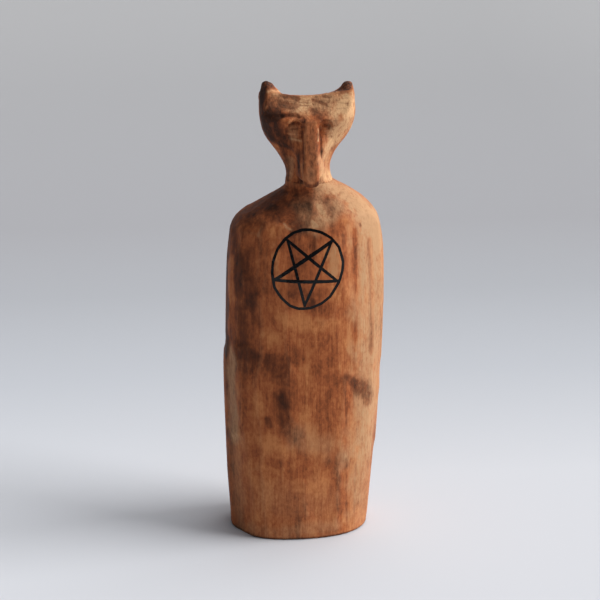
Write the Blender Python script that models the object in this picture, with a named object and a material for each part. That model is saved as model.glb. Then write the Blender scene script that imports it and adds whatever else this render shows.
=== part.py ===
"""A carved wooden demon: a cloaked column of a body, an animal's head on a thin neck, two dark
horns, and a star in a ring that are cut into the chest and filled with black enamel.

Metres, +Z up. The figure faces -Y and stands on Z = 0. Left and right in the names are the
figure's own sides, so its left is at +X.
"""

import math

import bmesh
import bpy
from mathutils import Matrix, Vector

# Every piece keeps this much from the piece that it is let into
CLEARANCE = 0.0003
# How far a cutter runs on past what it cuts
CUT_PAST = 0.0020
# Faces that meet at more than this keep a sharp edge
SHARP_ANGLE = math.radians(40)

# Body: five levels up a column, each a rounded oblong, then the shoulders
FOOT_BEVEL = 0.0008
FOOT_TO_HIP = 0.050
HIP_TO_WAIST = 0.042
WAIST_TO_CHEST = 0.030
CHEST_TO_SHOULDER = 0.0148
SHOULDER_RISE = 0.0217

FOOT_HALF_WIDTH = 0.0304
HIP_HALF_WIDTH = 0.0338
WAIST_HALF_WIDTH = 0.0343
CHEST_HALF_WIDTH = 0.0341
SHOULDER_HALF_WIDTH = 0.0325

FOOT_FRONT = 0.0233
HIP_FRONT = 0.0246
WAIST_FRONT = 0.0245
CHEST_FRONT = 0.0237
SHOULDER_FRONT = 0.0218

FOOT_BACK = 0.0232
HIP_BACK = 0.0242
WAIST_BACK = 0.0243
CHEST_BACK = 0.0238
SHOULDER_BACK = 0.0228

# How far each level's middle lies to the figure's left of the Z axis
FOOT_SHIFT = -0.0027
HIP_SHIFT = -0.0015
WAIST_SHIFT = 0.0000
CHEST_SHIFT = 0.0004
SHOULDER_SHIFT = 0.0005

# How far the foot is turned anticlockwise, seen from above
FOOT_TURN = math.radians(3)
# 2 is an ellipse, and more is nearer a rectangle
BODY_SQUARENESS = 2.35

# The shoulders' fall: roundness at their outer edge and steepness at the neck
SHOULDER_ROUNDNESS = 2.0
SHOULDER_STEEPNESS = 1.54
# How far the slope leans to the figure's left, which lifts that shoulder, and how late in the
# rise it leans most
SHOULDER_LEAN = 0.0028
SHOULDER_LEAN_PEAK = 1.9

# The flat on top of the shoulders, which the neck stands on
SEAT_MARGIN = 0.0004

# Neck and head: levels up from the seat
NECK_HEIGHT = 0.0062
JAW_HEIGHT = 0.0065
CHEEK_HEIGHT = 0.0070
TEMPLE_HEIGHT = 0.0070
BROW_HEIGHT = 0.0060
CROWN_HEIGHT = 0.0085

NECK_FOOT_HALF_WIDTH = 0.0098
NECK_HALF_WIDTH = 0.0099
JAW_HALF_WIDTH = 0.0129
CHEEK_HALF_WIDTH = 0.0180
TEMPLE_HALF_WIDTH = 0.0203
BROW_HALF_WIDTH = 0.0206
CROWN_HALF_WIDTH = 0.0196

NECK_FRONT = 0.0086
JAW_FRONT = 0.0096
FACE_FRONT = 0.0119
BROW_FRONT = 0.0142

NECK_BACK = 0.0098
JAW_BACK = 0.0116
SKULL_BACK = 0.0155

NECK_SHIFT = 0.0020
JAW_SHIFT = 0.0005
HEAD_SHIFT = 0.0010
NECK_SQUARENESS = 2.1
CHEEK_SQUARENESS = 2.2
BROW_SQUARENESS = 2.9

# Tenon under the neck, in a blind hole in the body
TENON_RADIUS = 0.0050
TENON_LENGTH = 0.0140

# Knife cuts that shape the top of the head
FOREHEAD_SLOPE = math.radians(50)
BROW_EDGE_DROP = 0.0045
BROW_EDGE_DEPTH = 0.0138
CROWN_SAG = 0.0010
CROWN_TILT = math.radians(-12)
CROWN_BELOW_BLANK = 0.0040

# Snout: the cheeks draw in and forward to the nose
SNOUT_CHEEK_HALF_WIDTH = 0.0165
SNOUT_JAW_HALF_WIDTH = 0.0098
SNOUT_NOSE_HALF_WIDTH = 0.0064
SNOUT_CHEEK_FRONT = 0.0130
SNOUT_JAW_FRONT = 0.0150
SNOUT_NOSE_FRONT = 0.0172
# Below 2 the flanks slope in to the front
SNOUT_SQUARENESS = 1.6
NOSE_ABOVE_SEAT = 0.0015
NOSE_UNDERCUT = 0.0030

# Muzzle: a ridge on the snout, from between the brows down to the nose
MUZZLE_SHIFT = 0.0004
BRIDGE_HALF_WIDTH = 0.0036
NOSE_HALF_WIDTH = 0.0032
BRIDGE_DEPTH = 0.0137
NOSE_DEPTH = 0.0180
MUZZLE_FLANK_SPREAD = 0.0008
MUZZLE_ROUNDING = 0.0014

# Eyes: sockets cut with a round gouge, and the balls left standing in them
EYE_SPACING = 0.0130
EYE_BELOW_BROW = 0.0044
SOCKET_HALF_WIDTH = 0.0036
SOCKET_HALF_HEIGHT = 0.0050
SOCKET_DEPTH = 0.0017
EYE_HALF_WIDTH = 0.0024
EYE_HALF_HEIGHT = 0.0030
EYE_BULGE = 0.0012

# Horns, each on a peg in the crown, set in from the side of the head and from the forehead
HORN_INSET = 0.0004
HORN_SET_BACK = 0.0006
RIGHT_HORN_HEIGHT = 0.0057
LEFT_HORN_HEIGHT = 0.0044
HORN_HALF_WIDTH = 0.0045
HORN_HALF_DEPTH = 0.0044
HORN_TIP_HALF_WIDTH = 0.0026
HORN_TIP_HALF_DEPTH = 0.0026
HORN_LEAN_OUT = 0.0018
HORN_LEAN_BACK = 0.0014
# 1 is a straight taper, and more draws the foot of the horn out
HORN_FLARE = 1.3
# A horn's tip: the power of its dome, and the share of its width left at the flat end
TIP_BLUNTNESS = 4
TIP_END_SHARE = 0.34
HORN_PEG_RADIUS = 0.0015
HORN_PEG_LENGTH = 0.0050

# Star in a ring, filled with enamel
RING_BELOW_SHOULDER = 0.0124
RING_SHIFT = -0.0006
RING_HALF_WIDTH = 0.0151
RING_HALF_HEIGHT = 0.0172
RING_LINE = 0.0011
STAR_LINE = 0.0012
INLAY_DEPTH = 0.0010
# Where the five points lie round the ring, from its right and anticlockwise, as cut by hand
STAR_POINTS = (48, 128, 198, 264, 339)

# Faces round and up the turned shapes
BODY_SIDES = 48
COLUMN_STEPS = 20
SHOULDER_STEPS = 10
HEAD_SIDES = 40
STEPS_PER_LEVEL = 3
HORN_SIDES = 20
SNOUT_SIDES = 32
TENON_SIDES = 32
PEG_SIDES = 20
SNOUT_STEPS = 9
HORN_STEPS = 7
RING_SIDES = 56
CROWN_SIDES = 120
EYE_SIDES = 16

# The figure's own right is at -X
SIDES = (("right", -1), ("left", 1))

# Worked out from the sizes above
HIP_Z = FOOT_TO_HIP
WAIST_Z = HIP_Z + HIP_TO_WAIST
CHEST_Z = WAIST_Z + WAIST_TO_CHEST
SHOULDER_Z = CHEST_Z + CHEST_TO_SHOULDER
SEAT_Z = SHOULDER_Z + SHOULDER_RISE
NECK_Z = SEAT_Z + CLEARANCE
THROAT_Z = NECK_Z + NECK_HEIGHT
JAW_Z = THROAT_Z + JAW_HEIGHT
CHEEK_Z = JAW_Z + CHEEK_HEIGHT
TEMPLE_Z = CHEEK_Z + TEMPLE_HEIGHT
BROW_Z = TEMPLE_Z + BROW_HEIGHT
BLANK_TOP_Z = BROW_Z + CROWN_HEIGHT
BROW_EDGE_Z = BROW_Z - BROW_EDGE_DROP
EYE_Z = BROW_EDGE_Z - EYE_BELOW_BROW
NOSE_Z = SEAT_Z + NOSE_ABOVE_SEAT
CROWN_Z = BLANK_TOP_Z - CROWN_BELOW_BLANK
RING_Z = SHOULDER_Z - RING_BELOW_SHOULDER
FOREHEAD_TOP_DEPTH = BROW_EDGE_DEPTH - (CROWN_Z - BROW_EDGE_Z) / math.tan(FOREHEAD_SLOPE)
HORN_FORWARD = FOREHEAD_TOP_DEPTH - HORN_SET_BACK - HORN_HALF_DEPTH

BODY_WIDTHS = (
    (0.0, FOOT_HALF_WIDTH),
    (HIP_Z, HIP_HALF_WIDTH),
    (WAIST_Z, WAIST_HALF_WIDTH),
    (CHEST_Z, CHEST_HALF_WIDTH),
    (SHOULDER_Z, SHOULDER_HALF_WIDTH),
)
BODY_FRONTS = (
    (0.0, FOOT_FRONT),
    (HIP_Z, HIP_FRONT),
    (WAIST_Z, WAIST_FRONT),
    (CHEST_Z, CHEST_FRONT),
    (SHOULDER_Z, SHOULDER_FRONT),
)
BODY_BACKS = (
    (0.0, FOOT_BACK),
    (HIP_Z, HIP_BACK),
    (WAIST_Z, WAIST_BACK),
    (CHEST_Z, CHEST_BACK),
    (SHOULDER_Z, SHOULDER_BACK),
)
BODY_SHIFTS = (
    (0.0, FOOT_SHIFT),
    (HIP_Z, HIP_SHIFT),
    (WAIST_Z, WAIST_SHIFT),
    (CHEST_Z, CHEST_SHIFT),
    (SHOULDER_Z, SHOULDER_SHIFT),
)
HEAD_WIDTHS = (
    (NECK_Z, NECK_FOOT_HALF_WIDTH),
    (THROAT_Z, NECK_HALF_WIDTH),
    (JAW_Z, JAW_HALF_WIDTH),
    (CHEEK_Z, CHEEK_HALF_WIDTH),
    (TEMPLE_Z, TEMPLE_HALF_WIDTH),
    (BROW_Z, BROW_HALF_WIDTH),
    (BLANK_TOP_Z, CROWN_HALF_WIDTH),
)
HEAD_FRONTS = (
    (NECK_Z, NECK_FRONT),
    (THROAT_Z, NECK_FRONT),
    (JAW_Z, JAW_FRONT),
    (EYE_Z, FACE_FRONT),
    (BROW_EDGE_Z, BROW_FRONT),
    (BLANK_TOP_Z, BROW_FRONT),
)
HEAD_BACKS = (
    (NECK_Z, NECK_BACK),
    (THROAT_Z, NECK_BACK),
    (JAW_Z, JAW_BACK),
    (TEMPLE_Z, SKULL_BACK),
    (BLANK_TOP_Z, SKULL_BACK),
)
HEAD_SQUARENESSES = (
    (NECK_Z, NECK_SQUARENESS),
    (CHEEK_Z, CHEEK_SQUARENESS),
    (BROW_EDGE_Z, BROW_SQUARENESS),
)
HEAD_SHIFTS = (
    (NECK_Z, NECK_SHIFT),
    (JAW_Z, JAW_SHIFT),
    (TEMPLE_Z, HEAD_SHIFT),
    (BLANK_TOP_Z, HEAD_SHIFT),
)
SNOUT_WIDTHS = (
    (NOSE_Z, SNOUT_NOSE_HALF_WIDTH),
    (JAW_Z, SNOUT_JAW_HALF_WIDTH),
    (CHEEK_Z, SNOUT_CHEEK_HALF_WIDTH),
    (EYE_Z, SNOUT_CHEEK_HALF_WIDTH),
)
SNOUT_FRONTS = (
    (NOSE_Z, SNOUT_NOSE_FRONT),
    (JAW_Z, SNOUT_JAW_FRONT),
    (CHEEK_Z, SNOUT_CHEEK_FRONT),
    (EYE_Z, FACE_FRONT),
)


def smooth_through(stops, at):
    """The value at a height on a smooth curve through (height, value) stops."""
    if at <= stops[0][0]:
        return stops[0][1]
    if at >= stops[-1][0]:
        return stops[-1][1]
    rises = [(b[1] - a[1]) / (b[0] - a[0]) for a, b in zip(stops, stops[1:])]
    slopes = [rises[0]] + [(a + b) / 2 for a, b in zip(rises, rises[1:])] + [rises[-1]]
    for i, (low, high) in enumerate(zip(stops, stops[1:])):
        if at <= high[0]:
            break
    run = high[0] - low[0]
    t = (at - low[0]) / run
    return (
        (2 * t**3 - 3 * t**2 + 1) * low[1]
        + (t**3 - 2 * t**2 + t) * run * slopes[i]
        + (3 * t**2 - 2 * t**3) * high[1]
        + (t**3 - t**2) * run * slopes[i + 1]
    )


def rounded(value, squareness):
    """One coordinate of a unit circle, pushed out towards a unit square's."""
    return math.copysign(abs(value) ** (2 / squareness), value)


def oblong(c, s, half_width, front, back, squareness):
    """The point of a rounded oblong at the direction (c, s), about its middle."""
    depth = front if s < 0 else back
    return half_width * rounded(c, squareness), depth * rounded(s, squareness)


def body_point(c, s, z):
    """A point on the body's surface, from the foot's bevel to the seat."""
    bevel = FOOT_BEVEL if z < FOOT_BEVEL / 2 else 0.0
    rise = min(max(0.0, (z - SHOULDER_Z) / SHOULDER_RISE), 1.0)
    kept = (1 - rise**SHOULDER_ROUNDNESS) ** SHOULDER_STEEPNESS
    seat = NECK_FOOT_HALF_WIDTH + SEAT_MARGIN
    seat_front = NECK_FRONT + SEAT_MARGIN
    seat_back = NECK_BACK + SEAT_MARGIN
    half_width = seat + (smooth_through(BODY_WIDTHS, z) - seat) * kept - bevel
    front = seat_front + (smooth_through(BODY_FRONTS, z) - seat_front) * kept - bevel
    back = seat_back + (smooth_through(BODY_BACKS, z) - seat_back) * kept - bevel
    shift = NECK_SHIFT + (smooth_through(BODY_SHIFTS, z) - NECK_SHIFT) * kept
    shift += SHOULDER_LEAN * math.sin(math.pi * rise**SHOULDER_LEAN_PEAK)
    squareness = 2 + (BODY_SQUARENESS - 2) * kept
    x, y = oblong(c, s, half_width, front, back, squareness)
    turn = FOOT_TURN * max(0.0, 1 - z / WAIST_Z)
    return Matrix.Rotation(turn, 3, "Z") @ Vector((x, y, z)) + Vector((shift, 0, 0))


def head_point(c, s, z):
    """A point on the head's blank, before the knife cuts."""
    x, y = oblong(
        c,
        s,
        smooth_through(HEAD_WIDTHS, z),
        smooth_through(HEAD_FRONTS, z),
        smooth_through(HEAD_BACKS, z),
        smooth_through(HEAD_SQUARENESSES, z),
    )
    return Vector((x + smooth_through(HEAD_SHIFTS, z), y, z))


def face_depth(x, z):
    """Y of the face's surface at x and z."""
    offset = (x - smooth_through(HEAD_SHIFTS, z)) / smooth_through(HEAD_WIDTHS, z)
    squareness = smooth_through(HEAD_SQUARENESSES, z)
    left = max(0.0, 1 - abs(offset) ** squareness)
    return -smooth_through(HEAD_FRONTS, z) * left ** (1 / squareness)


def evenly(low, high, steps):
    return [low + (high - low) * i / steps for i in range(1, steps + 1)]


def material(name, colour, roughness, metallic=0.0):
    made = bpy.data.materials.new(name)
    made.use_nodes = True
    shader = made.node_tree.nodes["Principled BSDF"]
    shader.inputs["Base Color"].default_value = (*colour, 1)
    shader.inputs["Roughness"].default_value = roughness
    shader.inputs["Metallic"].default_value = metallic
    return made


def placed(name, bm, collection, finish=None):
    """Makes a bmesh an object, with its faces outwards and its round sides smooth."""
    bmesh.ops.recalc_face_normals(bm, faces=bm.faces)
    mesh = bpy.data.meshes.new(name)
    bm.to_mesh(mesh)
    bm.free()
    mesh.shade_smooth()
    mesh.set_sharp_from_angle(angle=SHARP_ANGLE)
    if finish:
        mesh.materials.append(finish)
    obj = bpy.data.objects.new(name, mesh)
    collection.objects.link(obj)
    return obj


def helper(obj):
    """A cutter or a guide, which isn't part of the figure."""
    obj.hide_render = True
    obj.display_type = "WIRE"
    return obj


def combine(target, other, operation):
    """A live Boolean: DIFFERENCE, UNION or INTERSECT."""
    modifier = target.modifiers.new(f"{operation.title()} {other.name}", "BOOLEAN")
    modifier.operation = operation
    modifier.object = other
    modifier.solver = "EXACT"


def shade_evenly(obj):
    """Lets the large faces rule the shading beside a cut."""
    modifier = obj.modifiers.new("Even shading", "WEIGHTED_NORMAL")
    modifier.keep_sharp = True


def lofted(sides, heights, shape):
    """A capped unit cylinder with a ring at each height, each ring moved to the given shape."""
    bm = bmesh.new()
    bmesh.ops.create_cone(
        bm, cap_ends=True, segments=sides, radius1=1, radius2=1, depth=1
    )
    uprights = [e for e in bm.edges if abs(e.verts[0].co.z - e.verts[1].co.z) > 0.5]
    bmesh.ops.subdivide_edges(bm, edges=uprights, cuts=len(heights) - 2)
    for vert in bm.verts:
        ring = round((vert.co.z + 0.5) * (len(heights) - 1))
        vert.co = shape(vert.co.x, vert.co.y, heights[ring])
    return bm


def box(low, high):
    """A box between two corners."""
    bm = bmesh.new()
    middle = (Vector(low) + Vector(high)) / 2
    size = Vector(high) - Vector(low)
    bmesh.ops.create_cube(
        bm, size=1, matrix=Matrix.Translation(middle) @ Matrix.Diagonal((*size, 1))
    )
    return bm


def rod(radius, low, high, sides):
    """An upright cylinder between two points on its axis, one above the other."""
    bm = bmesh.new()
    bmesh.ops.create_cone(
        bm,
        cap_ends=True,
        segments=sides,
        radius1=radius,
        radius2=radius,
        depth=high[2] - low[2],
        matrix=Matrix.Translation((Vector(low) + Vector(high)) / 2),
    )
    return bm


def oval_prism(half_width, half_height, past=0.0):
    """An upright oval about the ring's middle, drawn out from inside the body to in front of it."""
    bm = bmesh.new()
    lie_down = Matrix.Rotation(math.radians(90), 4, "X")
    size = Matrix.Diagonal((half_width, 1, half_height, 1))
    middle = Matrix.Translation((RING_SHIFT, -CHEST_FRONT, RING_Z))
    bmesh.ops.create_cone(
        bm,
        cap_ends=True,
        segments=RING_SIDES,
        radius1=1,
        radius2=1,
        depth=2 * (CHEST_FRONT + past),
        matrix=middle @ size @ lie_down,
    )
    return bm


def star_bar(first, second, line):
    """One straight stroke between two of the star's points, as deep as the oval prism."""
    along = second - first
    tilt = math.atan2(along.y, along.x)
    middle = (first + second) / 2
    bm = bmesh.new()
    bmesh.ops.create_cube(
        bm,
        size=1,
        matrix=Matrix.Translation((RING_SHIFT + middle.x, -CHEST_FRONT, RING_Z + middle.y))
        @ Matrix.Rotation(-tilt, 4, "Y")
        @ Matrix.Diagonal((along.length, 2 * CHEST_FRONT, line, 1)),
    )
    return bm


def star_tips():
    """The star's five points on the middle of the ring's line, as offsets from its centre."""
    return [
        Vector((RING_HALF_WIDTH * math.cos(a), RING_HALF_HEIGHT * math.sin(a)))
        for a in map(math.radians, STAR_POINTS)
    ]


def star_strokes(name, line, cutters):
    """The five strokes of the star joined into one upright solid, through the whole chest."""
    tips = star_tips()
    strokes = [
        placed(f"{name}_{i + 1}", star_bar(tips[i], tips[(i + 2) % 5], line), cutters)
        for i in range(5)
    ]
    for other in strokes[1:]:
        combine(strokes[0], helper(other), "UNION")
    strokes[0].name = name
    return strokes[0]


def ring_band(name, line, collection, cutters):
    """The ring's upright band, through the whole chest."""
    band = placed(
        name, oval_prism(RING_HALF_WIDTH + line / 2, RING_HALF_HEIGHT + line / 2), collection
    )
    inner = placed(
        f"{name}_inner",
        oval_prism(RING_HALF_WIDTH - line / 2, RING_HALF_HEIGHT - line / 2, CUT_PAST),
        cutters,
    )
    combine(band, helper(inner), "DIFFERENCE")
    return band


def shifted_blank(name, blank, cutters, back):
    """The body's blank moved back, so that what stands in front of it is that deep."""
    core = bpy.data.objects.new(name, blank.data)
    core.location.y = back
    cutters.objects.link(core)
    return helper(core)


def make_body(collection, cutters, finish):
    column = evenly(FOOT_BEVEL, SHOULDER_Z, COLUMN_STEPS)
    shoulders = evenly(SHOULDER_Z, SEAT_Z, SHOULDER_STEPS)
    heights = [0.0, FOOT_BEVEL] + column + shoulders
    body = placed("body", lofted(BODY_SIDES, heights, body_point), collection, finish)
    blank = bpy.data.objects.new("body_blank", body.data)
    cutters.objects.link(helper(blank))
    hole = rod(
        TENON_RADIUS + CLEARANCE,
        (NECK_SHIFT, 0, SEAT_Z - TENON_LENGTH),
        (NECK_SHIFT, 0, SEAT_Z + CUT_PAST),
        TENON_SIDES,
    )
    combine(body, helper(placed("tenon_hole", hole, cutters)), "DIFFERENCE")
    return body, blank


def make_chest_inlay(body, blank, collection, cutters, enamel):
    """Cuts the ring's and the star's grooves, and fills them."""
    core = shifted_blank("inlay_core", blank, cutters, INLAY_DEPTH)
    groove_core = shifted_blank("groove_core", blank, cutters, INLAY_DEPTH + CLEARANCE)
    gap = 2 * CLEARANCE

    ring_groove = ring_band("ring_groove", RING_LINE + gap, cutters, cutters)
    star_groove = star_strokes("star_groove", STAR_LINE + gap, cutters)
    for groove in (ring_groove, star_groove):
        combine(helper(groove), groove_core, "DIFFERENCE")
        combine(body, groove, "DIFFERENCE")

    ring = ring_band("chest_ring", RING_LINE, collection, cutters)
    star = star_strokes("chest_star", STAR_LINE, cutters)
    cutters.objects.unlink(star)
    collection.objects.link(star)
    inside_ring = RING_LINE / 2 + CLEARANCE
    field = placed(
        "star_field",
        oval_prism(RING_HALF_WIDTH - inside_ring, RING_HALF_HEIGHT - inside_ring, CUT_PAST),
        cutters,
    )
    combine(star, helper(field), "INTERSECT")
    for filling in (ring, star):
        combine(filling, blank, "INTERSECT")
        combine(filling, core, "DIFFERENCE")
        filling.data.materials.append(enamel)


def snout_point(c, s, z):
    """A point on the snout, whose underside rises from the nose back to the throat."""
    front = smooth_through(SNOUT_FRONTS, z)
    x, y = oblong(c, s, smooth_through(SNOUT_WIDTHS, z), front, NECK_BACK / 2, SNOUT_SQUARENESS)
    undercut = NOSE_UNDERCUT * min(1.0, 1 + y / front) if z == NOSE_Z else 0.0
    return Vector((HEAD_SHIFT + MUZZLE_SHIFT + x, y, z + undercut))


def snout():
    return lofted(SNOUT_SIDES, [NOSE_Z] + evenly(NOSE_Z, EYE_Z, SNOUT_STEPS), snout_point)


def muzzle_ridge():
    """A ridge with rounded front edges, which stands a little proud of the snout."""
    middle = HEAD_SHIFT + MUZZLE_SHIFT
    root = NECK_FRONT / 2
    bm = box((-1, -1, 0), (1, 0, 1))
    for vert in bm.verts:
        upper = vert.co.z > 0.5
        front = vert.co.y < -0.5
        half = BRIDGE_HALF_WIDTH if upper else NOSE_HALF_WIDTH
        depth = BRIDGE_DEPTH if upper else NOSE_DEPTH
        z = BROW_EDGE_Z if upper else NOSE_Z
        if not front:
            half += MUZZLE_FLANK_SPREAD
            depth = root
            z += 0.0 if upper else NOSE_UNDERCUT
        vert.co = (middle + half * vert.co.x, -depth, z)
    edges = [
        e
        for e in bm.edges
        if all(v.co.y < -root - MUZZLE_ROUNDING for v in e.verts)
        and min(v.co.z for v in e.verts) < BROW_EDGE_Z - MUZZLE_ROUNDING
    ]
    bmesh.ops.bevel(
        bm,
        geom=edges,
        offset=MUZZLE_ROUNDING,
        offset_type="OFFSET",
        affect="EDGES",
        segments=3,
        profile=0.5,
        material=-1,
    )
    return bm


def forehead_cutter():
    """A slab whose underside is the forehead, from the brow's edge up and back."""
    size = 3 * BROW_HALF_WIDTH
    bm = box((-size, -size, 0), (size, size, size))
    slope = Matrix.Rotation(FOREHEAD_SLOPE, 4, "X")
    bm.transform(Matrix.Translation((HEAD_SHIFT, -BROW_EDGE_DEPTH, BROW_EDGE_Z)) @ slope)
    return bm


def horn_spread():
    """How far a horn's middle stands from the middle of the head."""
    return smooth_through(HEAD_WIDTHS, CROWN_Z) - HORN_INSET - HORN_HALF_WIDTH


def crown_cutter():
    """A wide drum lying front to back, which leaves a shallow saddle between the horns."""
    radius = horn_spread() ** 2 / (2 * CROWN_SAG)
    length = 4 * SKULL_BACK
    bm = bmesh.new()
    bmesh.ops.create_cone(
        bm,
        cap_ends=True,
        segments=CROWN_SIDES,
        radius1=radius,
        radius2=radius,
        depth=length,
        matrix=Matrix.Translation((HEAD_SHIFT, 0, CROWN_Z - CROWN_SAG))
        @ Matrix.Rotation(CROWN_TILT, 4, "X")
        @ Matrix.Translation((0, 0, radius))
        @ Matrix.Rotation(math.radians(90), 4, "X"),
    )
    return bm


def ellipsoid(middle, half_sizes):
    bm = bmesh.new()
    bmesh.ops.create_uvsphere(
        bm,
        u_segments=EYE_SIDES,
        v_segments=EYE_SIDES // 2,
        radius=1,
        matrix=Matrix.Translation(middle) @ Matrix.Diagonal((*half_sizes, 1)),
    )
    return bm


def eye_middle(side, behind_face):
    """An eye's middle. side is -1 for the figure's right eye and 1 for its left."""
    x = HEAD_SHIFT + MUZZLE_SHIFT + side * EYE_SPACING / 2
    return x, face_depth(x, EYE_Z) + behind_face, EYE_Z


def socket_cutter(side):
    """A gouge's hollow in the face."""
    return ellipsoid(
        eye_middle(side, -SOCKET_DEPTH),
        (SOCKET_HALF_WIDTH, 2 * SOCKET_DEPTH, SOCKET_HALF_HEIGHT),
    )


def eyeball(side):
    """A low swelling on the socket's floor."""
    return ellipsoid(
        eye_middle(side, SOCKET_DEPTH), (EYE_HALF_WIDTH, EYE_BULGE, EYE_HALF_HEIGHT)
    )


def horn_place(side):
    return HEAD_SHIFT + side * horn_spread(), -HORN_FORWARD


def make_head(collection, cutters, finish):
    levels = [NECK_Z, THROAT_Z, JAW_Z, CHEEK_Z, TEMPLE_Z, BROW_Z, BLANK_TOP_Z]
    heights = [NECK_Z]
    for low, high in zip(levels, levels[1:]):
        heights += evenly(low, high, STEPS_PER_LEVEL)
    head = placed("head", lofted(HEAD_SIDES, heights, head_point), collection, finish)

    tenon = rod(
        TENON_RADIUS,
        (NECK_SHIFT, 0, SEAT_Z - TENON_LENGTH + CLEARANCE),
        (NECK_SHIFT, 0, NECK_Z + NECK_HEIGHT / 2),
        TENON_SIDES,
    )
    combine(head, helper(placed("neck_tenon", tenon, cutters)), "UNION")
    combine(head, helper(placed("snout", snout(), cutters)), "UNION")
    combine(head, helper(placed("forehead_cut", forehead_cutter(), cutters)), "DIFFERENCE")
    combine(head, helper(placed("crown_cut", crown_cutter(), cutters)), "DIFFERENCE")
    for name, side in SIDES:
        socket = placed(f"{name}_eye_socket", socket_cutter(side), cutters)
        combine(head, helper(socket), "DIFFERENCE")
        ball = placed(f"{name}_eyeball", eyeball(side), cutters)
        combine(head, helper(ball), "UNION")
    combine(head, helper(placed("muzzle", muzzle_ridge(), cutters)), "UNION")
    for name, side in SIDES:
        x, y = horn_place(side)
        hole = rod(
            HORN_PEG_RADIUS + CLEARANCE,
            (x, y, CROWN_Z - HORN_PEG_LENGTH - CLEARANCE),
            (x, y, BLANK_TOP_Z),
            PEG_SIDES,
        )
        combine(head, helper(placed(f"{name}_peg_hole", hole, cutters)), "DIFFERENCE")
    return head


def make_horn(name, side, height, head, collection, cutters, finish):
    """A blunt horn that leans out and back, seated on the crown with its peg in the head."""
    x, y = horn_place(side)
    seat_z = CROWN_Z - CROWN_SAG
    root = seat_z - (HORN_FORWARD + HORN_HALF_DEPTH) * math.tan(abs(CROWN_TILT))
    tip = CROWN_Z + height

    def shape(c, s, z):
        up = max(0.0, (z - seat_z) / (tip - seat_z))
        foot = (1 - up) ** HORN_FLARE
        half_width = HORN_TIP_HALF_WIDTH + (HORN_HALF_WIDTH - HORN_TIP_HALF_WIDTH) * foot
        half_depth = HORN_TIP_HALF_DEPTH + (HORN_HALF_DEPTH - HORN_TIP_HALF_DEPTH) * foot
        domed = math.sqrt(1 - (1 - TIP_END_SHARE**2) * up**TIP_BLUNTNESS)
        return Vector(
            (
                x + side * HORN_LEAN_OUT * (1 - foot) + half_width * domed * c,
                y + HORN_LEAN_BACK * (1 - foot) + half_depth * domed * s,
                z,
            )
        )

    heights = [root, seat_z] + evenly(seat_z, tip, HORN_STEPS)
    horn = placed(name, lofted(HORN_SIDES, heights, shape), collection, finish)
    peg = rod(
        HORN_PEG_RADIUS,
        (x, y, CROWN_Z - HORN_PEG_LENGTH + CLEARANCE),
        (x, y, CROWN_Z + height / 2),
        PEG_SIDES,
    )
    combine(horn, helper(placed(f"{name}_peg", peg, cutters)), "UNION")
    seat = bpy.data.objects.new(f"{name}_seat", head.data)
    cutters.objects.link(helper(seat))
    seat.location.z = CLEARANCE
    for modifier in head.modifiers:
        combine(seat, modifier.object, modifier.operation)
    combine(horn, seat, "DIFFERENCE")
    return horn


def main():
    for obj in list(bpy.data.objects):
        bpy.data.objects.remove(obj)
    figure = bpy.data.collections.new("demon_statue")
    cutters = bpy.data.collections.new("cutters")
    for collection in (figure, cutters):
        bpy.context.scene.collection.children.link(collection)

    body_wood = material("stained_wood_body", (0.30, 0.12, 0.045), 0.55)
    head_wood = material("stained_wood_head", (0.28, 0.13, 0.06), 0.55)
    dark_wood = material("dark_stained_wood", (0.045, 0.02, 0.014), 0.5)
    enamel = material("black_enamel", (0.008, 0.008, 0.010), 0.28)

    body, blank = make_body(figure, cutters, body_wood)
    make_chest_inlay(body, blank, figure, cutters, enamel)
    head = make_head(figure, cutters, head_wood)
    make_horn("right_horn", -1, RIGHT_HORN_HEIGHT, head, figure, cutters, dark_wood)
    make_horn("left_horn", 1, LEFT_HORN_HEIGHT, head, figure, cutters, dark_wood)
    for obj in figure.objects:
        shade_evenly(obj)


main()
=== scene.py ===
"""Dresses the carved demon: knife-worked stained wood, dark horns, and a star in a ring of enamel.

Metres, +Z up. The figure faces -Y, and its own left is at +X.
"""

import math

import bmesh
import bpy
import numpy as np
from mathutils import Matrix, Vector, noise
from mathutils.bvhtree import BVHTree
from mathutils.kdtree import KDTree


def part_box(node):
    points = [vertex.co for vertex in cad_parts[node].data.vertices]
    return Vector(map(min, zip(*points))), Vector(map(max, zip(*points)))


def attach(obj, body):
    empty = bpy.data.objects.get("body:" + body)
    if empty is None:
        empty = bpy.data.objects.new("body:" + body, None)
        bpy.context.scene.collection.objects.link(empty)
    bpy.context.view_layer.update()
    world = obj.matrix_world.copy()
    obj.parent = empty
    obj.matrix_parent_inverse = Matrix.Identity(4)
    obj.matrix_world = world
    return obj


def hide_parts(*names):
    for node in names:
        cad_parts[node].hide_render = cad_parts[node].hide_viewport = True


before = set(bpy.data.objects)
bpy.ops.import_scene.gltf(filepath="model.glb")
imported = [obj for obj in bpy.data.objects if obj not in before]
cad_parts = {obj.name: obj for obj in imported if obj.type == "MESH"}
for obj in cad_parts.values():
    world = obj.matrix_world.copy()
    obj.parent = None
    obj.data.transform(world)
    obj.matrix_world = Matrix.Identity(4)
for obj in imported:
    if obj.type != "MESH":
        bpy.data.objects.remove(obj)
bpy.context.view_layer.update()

MM = 0.001

# Heights of the seat of the neck on the body, and of the crown between the horns
BODY_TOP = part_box("body")[1].z
HEAD_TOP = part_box("head")[1].z

# Camera, matched to the outline in the photograph
IMAGE_SIZE = 600
IMAGE_MIDDLE = IMAGE_SIZE / 2
CAMERA_AIM = Vector((-0.0019, 0, 0.1038))
CAMERA_AZIMUTH = math.radians(-5)
CAMERA_ELEVATION = math.radians(18)
CAMERA_DISTANCE = 1.0
CAMERA_LENS = 137.16
CAMERA_SENSOR = 36

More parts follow.
